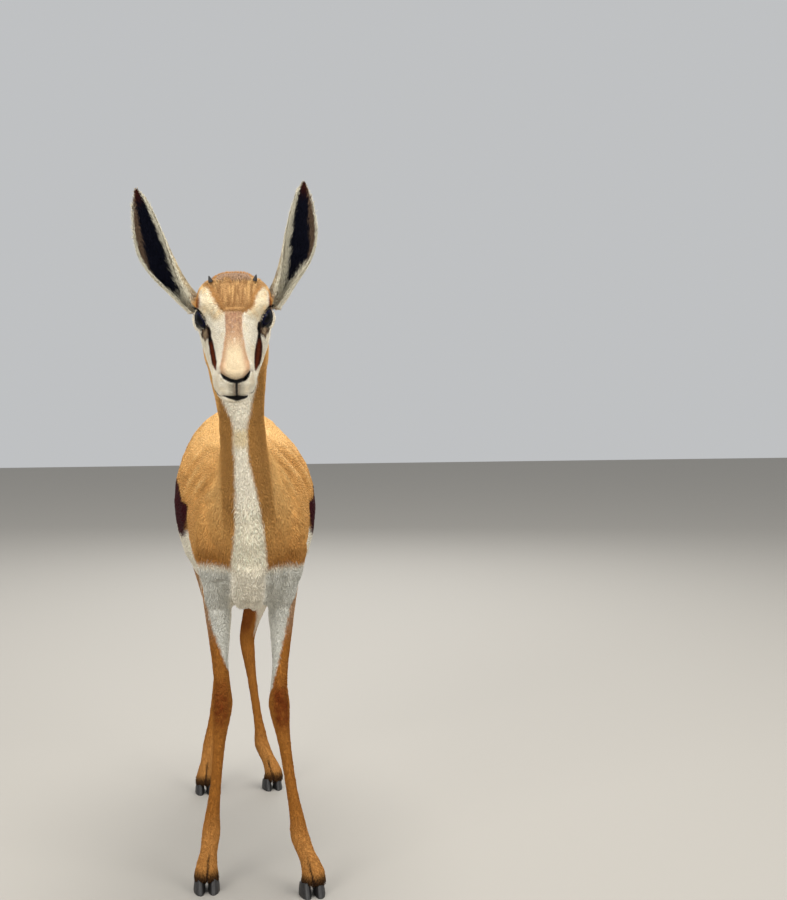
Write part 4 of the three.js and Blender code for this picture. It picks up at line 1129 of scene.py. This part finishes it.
def tuft_mesh(name, roots, normals, ways, spots, sizes, colours, rings=BLADE, flat=0.32):
    """Closed pointed blades: a root, one or more three-cornered rings and a tip."""
    count = len(roots)
    length, width, lift = sizes[:, 0:1], sizes[:, 1:2], sizes[:, 2:3]
    sides = unit(np.cross(normals, ways))
    corners = [roots - normals * ROOT_DEPTH]
    for along, wide, high in rings:
        centre = roots + ways * length * along + normals * lift * high
        half = width * wide / 2
        corners += [centre + sides * half, centre + normals * width * wide * flat, centre - sides * half]
    corners.append(roots + ways * length + normals * lift)
    per = len(corners)
    points = np.stack(corners, axis=1).reshape(-1, 3)
    faces = [(2, 1, 0), (3, 2, 0), (1, 3, 0)]
    for k in range(len(rings) - 1):
        a, b = 1 + 3 * k, 4 + 3 * k
        for i in range(3):
            j = (i + 1) % 3
            faces += [(a + i, a + j, b + j), (a + i, b + j, b + i)]
    last, tip = per - 4, per - 1
    faces += [(last, last + 1, tip), (last + 1, last + 2, tip), (last + 2, last, tip)]
    faces = np.array(faces)
    every = (faces[None] + (np.arange(count) * per)[:, None, None]).reshape(-1, 3)
    mesh = bpy.data.meshes.new(name)
    mesh.vertices.add(len(points))
    mesh.vertices.foreach_set("co", placed(points).astype(np.float32).ravel())
    mesh.loops.add(len(every) * 3)
    mesh.loops.foreach_set("vertex_index", every.astype(np.int32).ravel())
    mesh.polygons.add(len(every))
    mesh.polygons.foreach_set("loop_start", (np.arange(len(every)) * 3).astype(np.int32))
    mesh.polygons.foreach_set("use_smooth", np.ones(len(every), bool))
    mesh.update(calc_edges=True)
    mesh.validate()
    tone = np.repeat(colours[:, None, :], per, axis=1)
    share = np.zeros(per)
    share[1:-1] = np.repeat([ring[0] for ring in rings], 3)
    share[-1] = 1
    tone = tone * (0.9 + 0.16 * share)[None, :, None]
    colour_in(mesh, np.clip(tone, 0, 1).reshape(-1, 3))
    # each vertex's own corner of the tuft's spot on the unwrap
    turn = np.arange(per) * 2.4
    offset = np.column_stack((np.cos(turn), np.sin(turn))) * PATCH * 0.95
    spread = (spots[:, None, :] + offset[None]).reshape(-1, 2)
    layer = mesh.uv_layers.new(name="OFBake")
    layer.data.foreach_set("uv", np.clip(spread, 0, 1)[every.ravel()].astype(np.float32).ravel())
    item = bpy.data.objects.new(name, mesh)
    bpy.context.scene.collection.objects.link(item)
    return item


def grow_coat(name, skin, chooser, seed):
    """Tufts over the region that `chooser` marks, each a little different from the next."""
    roots, normals, spots, draw = roots_on(skin, chooser, seed)
    count = len(roots)
    ways = coat_way(roots, normals)
    turn = np.radians(draw.normal(0, STRAY, count))[:, None]
    ways = ways * np.cos(turn) + np.cross(normals, ways) * np.sin(turn)
    sizes = coat_growth(roots, normals)[:, :3]
    sizes = sizes * (1 + 0.22 * draw.uniform(-1, 1, (count, 3)))
    clump = speckle(roots, 7, seed + 40)
    sizes[:, 2] *= 1 + 0.35 * clump
    colours = coat_colour(roots, normals) * (1 + 0.075 * draw.normal(0, 1, count) + 0.05 * clump)[:, None]
    return tuft_mesh(name, roots, normals, ways, spots, sizes, np.clip(colours, 0.003, 1))


def on_head(p):
    return above_cut(p) >= 0


def on_face(p):
    return (head_places(p)[0] > 60) & (p[:, 2] < 845)


def on_neck(y, z):
    return (z > 560) & (y < 60)


# Where each piece of coat grows; on the body by Y and Z, parted before and behind the barrel
REGIONS = {
    "coat_face": (skin_head, lambda p: on_head(p) & on_face(p)),
    "coat_crown_ears": (skin_head, lambda p: on_head(p) & ~on_face(p)),
    "coat_neck": (skin_body, lambda p: ~on_head(p) & on_neck(p[:, 1], p[:, 2])),
    "coat_fore": (skin_body, lambda p: (p[:, 2] > 400) & (p[:, 1] < 160) & ~on_neck(p[:, 1], p[:, 2])),
    "coat_barrel": (skin_body, lambda p: (p[:, 2] > 330) & (p[:, 1] >= 160) & (p[:, 1] < 340)),
    "coat_rump": (skin_body, lambda p: (p[:, 2] > 330) & (p[:, 1] >= 340)),
    "coat_forelegs": (skin_body, lambda p: (p[:, 2] <= 400) & (p[:, 1] < 160)),
    "coat_hindlegs": (skin_body, lambda p: (p[:, 2] <= 330) & (p[:, 1] >= 160)),
}
coats = [grow_coat(name, skin, chooser, seed) for seed, (name, (skin, chooser)) in enumerate(REGIONS.items(), 1)]

# ---------------------------------------------------------------------------------------------
# Eyes, lids and lashes


def on_eye(sign, flat, radius):
    """Flat places of the opening carried onto a ball round the eye's middle."""
    along, across, look = eye_axes(sign)
    depth = np.sqrt(np.maximum(radius**2 - (flat**2).sum(axis=1), 1))
    return ball_middle(sign) + flat[:, :1] * along + flat[:, 1:] * across + depth[:, None] * look


def tube_along(name, path, radii, sides=10):
    """A closed ring of rings round a closed path."""
    ahead = unit(np.roll(path, -1, axis=0) - np.roll(path, 1, axis=0))
    out = unit(path - path.mean(axis=0))
    out = unit(out - ahead * np.einsum("ij,ij->i", out, ahead)[:, None])
    third = np.cross(ahead, out)
    angles = np.arange(sides) * 2 * np.pi / sides
    rings = path[:, None] + radii[:, None, None] * (
        np.cos(angles)[None, :, None] * out[:, None] + np.sin(angles)[None, :, None] * third[:, None]
    )
    count = len(path)
    faces = []
    for i in range(count):
        for j in range(sides):
            i2, j2 = (i + 1) % count, (j + 1) % sides
            faces.append((i * sides + j, i2 * sides + j, i2 * sides + j2, i * sides + j2))
    mesh = bpy.data.meshes.new(name)
    mesh.from_pydata([tuple(q) for q in placed(rings.reshape(-1, 3))], [], faces)
    item = bpy.data.objects.new(name, mesh)
    bpy.context.scene.collection.objects.link(item)
    edit_all([item], bpy.ops.mesh.normals_make_consistent, inside=False)
    bpy.ops.object.shade_smooth()
    return item


def build_eye(side, sign):
    """The ball, a little fuller before the iris, where the cornea bulges."""
    along, across, look = eye_axes(sign)
    centre = ball_middle(sign)
    bpy.ops.object.select_all(action="DESELECT")
    bpy.ops.mesh.primitive_uv_sphere_add(
        segments=64, ring_count=48, radius=BALL_RADIUS * MM, location=placed(centre)
    )
    eye = bpy.context.active_object
    eye.name = eye.data.name = f"eyeball_{side}"
    facing = Matrix(np.column_stack((along, across * sign, look)).tolist()).to_4x4()
    eye.data.transform(facing)
    alone(eye)
    bpy.ops.object.transform_apply(location=True, rotation=True, scale=True)
    points = drawn(places_of(eye.data)) - centre
    turn = np.degrees(np.arccos(np.clip(unit(points) @ look, -1, 1)))
    points = points * (1 + 0.04 * rise(turn, 44, 8))[:, None]
    put_places(eye.data, placed(points + centre))
    # a wide dark iris tinted navy as a painted reflection, a level oval pupil, and a brown edge that only shows in the
    # corners
    x, y = points @ along, points @ across
    colour = np.tile(shade("120a0a"), (len(points), 1))
    # navy over the iris: a painted reflection
    colour = colour + (shade("090a2a") - colour) * rise(turn, 56, 38)[:, None]
    colour = colour + (shade("020206") - colour) * rise(np.hypot(x / 8.0, y / 5.0), 1.15, 0.8)[:, None]
    colour_in(eye.data, colour, "Iris")
    alone(eye)
    bpy.ops.object.shade_smooth()
    return eye


def build_lid(side, sign):
    """The bare rim round the opening, thicker along the upper lid."""
    path = on_eye(sign, opening() * 1.03, BALL_RADIUS + 0.45)
    upper = np.sin(np.pi * np.clip(np.arange(len(path)) / len(path) * 2, 0, 1))
    return tube_along(f"lid_{side}", path, 0.65 + 0.3 * upper)


def build_lashes(side, sign):
    """Long dark lashes on the upper lid, longest at its outer half."""
    along, across, look = eye_axes(sign)
    flat = opening(18)[6:40]
    count = len(flat)
    draw = np.random.default_rng(70 + sign)
    path = on_eye(sign, flat * 1.05, BALL_RADIUS + 1.1)
    path = np.repeat(path, 2, axis=0) + draw.normal(0, 0.25, (count * 2, 3))
    share = np.repeat(np.linspace(0, 1, count), 2)
    outward = unit(np.repeat(flat, 2, axis=0)) @ np.stack((along, across)) * 0.9 + look * 0.55 + along * 0.35
    outward = unit(outward - np.array((0, 0, 0.35)) * rise(share, 0.4, 1)[:, None])
    normals = unit(look - outward * (outward @ look)[:, None])
    long = np.interp(share, (0, 0.55, 0.85, 1), (3.5, 6.5, 8.5, 6))
    sizes = np.column_stack((long, np.full(count * 2, 0.42), np.full(count * 2, 0.2)))
    sizes *= 1 + 0.2 * draw.uniform(-1, 1, sizes.shape)
    hues = np.tile(HAIR["black"], (count * 2, 1))
    spots = np.column_stack((0.1 + 0.8 * share, np.full(count * 2, 0.5)))
    return tuft_mesh(f"lashes_{side}", path, normals, outward, spots, sizes, hues, LASH, 0.5)


eyes, lids, lashes = [], [], []
for side, sign in (("left", 1), ("right", -1)):
    eyes.append(build_eye(side, sign))
    lids.append(build_lid(side, sign))
    lashes.append(build_lashes(side, sign))
    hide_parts(f"eye_{side}")

# ---------------------------------------------------------------------------------------------
# Hooves, dewclaws and horn buds: the solids' own shapes, rounded


def rounded(node, name, size, rounds):
    """A node's own shape as an even net with its facets taken out."""
    item = copy_of([node], name)
    remeshed(item, size)
    evened(item.data, rounds)
    alone(item)
    bpy.ops.object.shade_smooth()
    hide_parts(node)
    return item


HOOF_NET, SPUR_NET, BUD_NET = 0.9, 0.6, 0.45  # mm
BUD_DROP = 3.4  # mm, with the crown they stand on

hooves = []
for name in LEGS:
    for end in ("inner", "outer"):
        hooves.append(rounded(f"{name}_claw_{end}", f"{name}_hoof_{end}", HOOF_NET, 8))
        hooves.append(rounded(f"{name}_dewclaw_{end}", f"{name}_spur_{end}", SPUR_NET, 4))
buds = [rounded(f"horn_bud_{side}", f"bud_{side}", BUD_NET, 4) for side in ("left", "right")]
for bud in buds:
    put_places(bud.data, places_of(bud.data) - HEAD_AXES[:, 2] * BUD_DROP * MM)

# ---------------------------------------------------------------------------------------------
# Materials


def add_node(tree, kind, settings=None, links=None):
    """A node with its settings; `links` takes each input from (node, output)."""
    node = tree.nodes.new(kind)
    for key, value in (settings or {}).items():
        if isinstance(key, str) and hasattr(node, key):
            setattr(node, key, value)
        else:
            node.inputs[key].default_value = value
    for key, (source, output) in (links or {}).items():
        tree.links.new(source.outputs[output], node.inputs[key])
    return node


def new_material(name):
    """An empty material, its node tree and the output that ends it."""
    material = bpy.data.materials.new(name)
    material.use_nodes = True
    tree = material.node_tree
    tree.nodes.clear()
    return material, tree, add_node(tree, "ShaderNodeOutputMaterial")


def finish_material(tree, end, shader):
    tree.links.new(shader.outputs["BSDF"], end.inputs["Surface"])


def rgba(code):
    return (*shade(code), 1.0)


CORNEA_IOR, SKIN_IOR, KERATIN_IOR = 1.376, 1.4, 1.55
WAVES_PER_UNIT = 20  # what the band pattern's scale is worked out from


def coat_material(name, bump, grain):
    """Springbok hair, short and lying flat: dull, uneven in tone, with no shine but on the bare black skin.
    The grain, in mm, is some hairs wide, because one hair is too fine to show."""
    material, tree, end = new_material(name)
    coat = add_node(tree, "ShaderNodeAttribute", {"attribute_name": "Coat"})
    bare = add_node(tree, "ShaderNodeAttribute", {"attribute_name": "Bare"})
    place = add_node(tree, "ShaderNodeTexCoord")
    noise = add_node(
        tree, "ShaderNodeTexNoise", {"Scale": 1 / (grain * MM), "Detail": 3.0}, {"Vector": (place, "Object")}
    )
    tone = add_node(tree, "ShaderNodeMapRange", {"To Min": 0.86, "To Max": 1.12}, {"Value": (noise, "Fac")})
    lit = add_node(
        tree, "ShaderNodeVectorMath", {"operation": "SCALE"}, {0: (coat, "Color"), "Scale": (tone, "Result")}
    )
    rough = add_node(tree, "ShaderNodeMapRange", {"To Min": 0.75, "To Max": 0.36}, {"Value": (bare, "Fac")})
    raised = add_node(tree, "ShaderNodeBump", {"Strength": bump, "Distance": 0.6 * MM}, {"Height": (noise, "Fac")})
    shader = add_node(
        tree,
        "ShaderNodeBsdfPrincipled",
        {"IOR": KERATIN_IOR, "Specular IOR Level": 0.07},
        {"Base Color": (lit, "Vector"), "Roughness": (rough, "Result"), "Normal": (raised, "Normal")},
    )
    finish_material(tree, end, shader)
    return material


def eye_material():
    """A wet cornea over a near-black iris: mirror smooth, with a faint blue that is a painted reflection in the iris's
    colour.
    """
    material, tree, end = new_material("Cornea, wet, over a dark iris")
    iris = add_node(tree, "ShaderNodeAttribute", {"attribute_name": "Iris"})
    place = add_node(tree, "ShaderNodeTexCoord")
    noise = add_node(tree, "ShaderNodeTexNoise", {"Scale": 900.0, "Detail": 2.0}, {"Vector": (place, "Object")})
    tone = add_node(tree, "ShaderNodeMapRange", {"To Min": 0.7, "To Max": 1.3}, {"Value": (noise, "Fac")})
    lit = add_node(
        tree, "ShaderNodeVectorMath", {"operation": "SCALE"}, {0: (iris, "Color"), "Scale": (tone, "Result")}
    )
    film = {"Coat Weight": 0.3, "Coat Roughness": 0.03, "Coat IOR": CORNEA_IOR}
    shader = add_node(
        tree,
        "ShaderNodeBsdfPrincipled",
        {"Roughness": 0.35, "IOR": CORNEA_IOR, "Specular IOR Level": 0.05, **film},
        {"Base Color": (lit, "Vector")},
    )
    finish_material(tree, end, shader)
    return material


def skin_material(name, code, roughness):
    """Bare skin, moist and fine pored: dark, with a low soft shine."""
    material, tree, end = new_material(name)
    place = add_node(tree, "ShaderNodeTexCoord")
    noise = add_node(tree, "ShaderNodeTexNoise", {"Scale": 1400.0, "Detail": 2.0}, {"Vector": (place, "Object")})
    raised = add_node(tree, "ShaderNodeBump", {"Strength": 0.3, "Distance": 0.3 * MM}, {"Height": (noise, "Fac")})
    ramp = add_node(tree, "ShaderNodeValToRGB", {}, {"Fac": (noise, "Fac")})
    ramp.color_ramp.elements[0].color = rgba(code)
    ramp.color_ramp.elements[1].color = tuple(1.7 * c for c in rgba(code)[:3]) + (1.0,)
    shader = add_node(
        tree,
        "ShaderNodeBsdfPrincipled",
        {"Roughness": roughness, "IOR": SKIN_IOR},
        {"Base Color": (ramp, "Color"), "Normal": (raised, "Normal")},
    )
    finish_material(tree, end, shader)
    return material


def horn_material(name, dark, pale, ring, roughness):
    """Keratin, grown in layers and worn by the ground: near black, ringed every `ring` mm, a dull shine."""
    material, tree, end = new_material(name)
    place = add_node(tree, "ShaderNodeTexCoord")
    bands = {"wave_type": "BANDS", "bands_direction": "Z", "Scale": 1 / (ring * MM) / WAVES_PER_UNIT}
    wave = add_node(
        tree,
        "ShaderNodeTexWave",
        {**bands, "Distortion": 1.2, "Detail": 2.0, "Detail Scale": 3.0},
        {"Vector": (place, "Object")},
    )
    noise = add_node(tree, "ShaderNodeTexNoise", {"Scale": 420.0, "Detail": 4.0}, {"Vector": (place, "Object")})
    ramp = add_node(tree, "ShaderNodeValToRGB", {}, {"Fac": (noise, "Fac")})
    ramp.color_ramp.elements[0].color, ramp.color_ramp.elements[0].position = rgba(dark), 0.35
    ramp.color_ramp.elements[1].color, ramp.color_ramp.elements[1].position = rgba(pale), 0.75
    low = add_node(tree, "ShaderNodeBump", {"Strength": 0.5, "Distance": 0.4 * MM}, {"Height": (wave, "Fac")})
    both = add_node(
        tree,
        "ShaderNodeBump",
        {"Strength": 0.35, "Distance": 0.3 * MM},
        {"Height": (noise, "Fac"), "Normal": (low, "Normal")},
    )
    shader = add_node(
        tree,
        "ShaderNodeBsdfPrincipled",
        {"Roughness": roughness, "IOR": KERATIN_IOR},
        {"Base Color": (ramp, "Color"), "Normal": (both, "Normal")},
    )
    finish_material(tree, end, shader)
    return material


def floor_material():
    """Matt paper, pale and even, with a grain too fine to see as a pattern."""
    material, tree, end = new_material("Backdrop paper, matt")
    place = add_node(tree, "ShaderNodeTexCoord")
    noise = add_node(tree, "ShaderNodeTexNoise", {"Scale": 300.0, "Detail": 2.0}, {"Vector": (place, "Object")})
    raised = add_node(tree, "ShaderNodeBump", {"Strength": 0.04, "Distance": 0.5 * MM}, {"Height": (noise, "Fac")})
    shader = add_node(
        tree,
        "ShaderNodeBsdfPrincipled",
        {"Base Color": rgba("a39f98"), "Roughness": 0.9},
        {"Normal": (raised, "Normal")},
    )
    finish_material(tree, end, shader)
    return material


def wear(item, material):
    """The material on the piece, and the body it stands on."""
    item.data.materials.clear()
    item.data.materials.append(material)
    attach(item, "root")


under = coat_material("Springbok skin under short hair", 0.5, 1.6)
tufts = coat_material("Springbok hair, short, lying flat", 0.25, 1.2)
for item in (skin_body, skin_head):
    wear(item, under)
for item in (*coats, *lashes):
    wear(item, tufts)
lid_skin = skin_material("Lid skin, bare and moist", "120c0c", 0.38)
for item in lids:
    wear(item, lid_skin)
cornea = eye_material()
for item in eyes:
    wear(item, cornea)
hoof_horn = horn_material("Keratin, hoof wall, worn by gravel", "0d0c0c", "2b2827", 2.5, 0.5)
for item in hooves:
    wear(item, hoof_horn)
bud_horn = horn_material("Keratin, horn bud, just through the skin", "0b0909", "2a2320", 1.5, 0.45)
for item in buds:
    wear(item, bud_horn)

# ---------------------------------------------------------------------------------------------
# Floor, light and camera

FLOOR_SIZE = 12  # m
DAYLIGHT, SKYLIGHT = (1.0, 0.975, 0.93), (0.97, 0.98, 1.0)
LENS, SENSOR = 57.16, 36.0  # mm

bpy.ops.object.select_all(action="DESELECT")
bpy.ops.mesh.primitive_plane_add(size=FLOOR_SIZE, location=(0, 0, 0))
floor = bpy.context.active_object
floor.name = "floor"
floor.data.materials.append(floor_material())


def soft_light(name, place, aim, size, power, colour):
    lamp = bpy.data.lights.new(name, "AREA")
    lamp.shape, lamp.size, lamp.energy, lamp.color = "DISK", size, power, colour
    item = bpy.data.objects.new(name, lamp)
    item.location = place
    item.rotation_euler = (Vector(aim) - Vector(place)).to_track_quat("-Z", "Y").to_euler()
    bpy.context.scene.collection.objects.link(item)


# Each lamp's place and aim and its disk's size in m, and its power in W
soft_light("sky_above", (0.2, 0.3, 3.2), (0, 0, 0.5), 2.6, 96, DAYLIGHT)
soft_light("front_left", (-1.9, -2.4, 1.7), (0, 0, 0.55), 1.7, 50, DAYLIGHT)
soft_light("front_right", (2.1, -2.2, 1.5), (0, 0, 0.55), 1.9, 38, DAYLIGHT)
soft_light("behind", (0.4, 2.6, 1.8), (0, 0, 0.6), 1.8, 30, SKYLIGHT)

world = bpy.data.worlds.new("studio")
world.use_nodes = True
back = world.node_tree.nodes["Background"]
back.inputs["Color"].default_value = rgba("e6e8ea")
back.inputs["Strength"].default_value = 0.66
bpy.context.scene.world = world
bpy.context.scene.view_settings.view_transform = "Standard"

camera_data = bpy.data.cameras.new("camera")
camera_data.lens, camera_data.sensor_width = LENS, SENSOR
camera = bpy.data.objects.new("camera", camera_data)
camera.location = placed(VIEW_FROM)
camera.rotation_euler = (math.radians(90 - VIEW_PITCH), 0, math.radians(-VIEW_YAW))
bpy.context.scene.collection.objects.link(camera)
bpy.context.scene.camera = camera
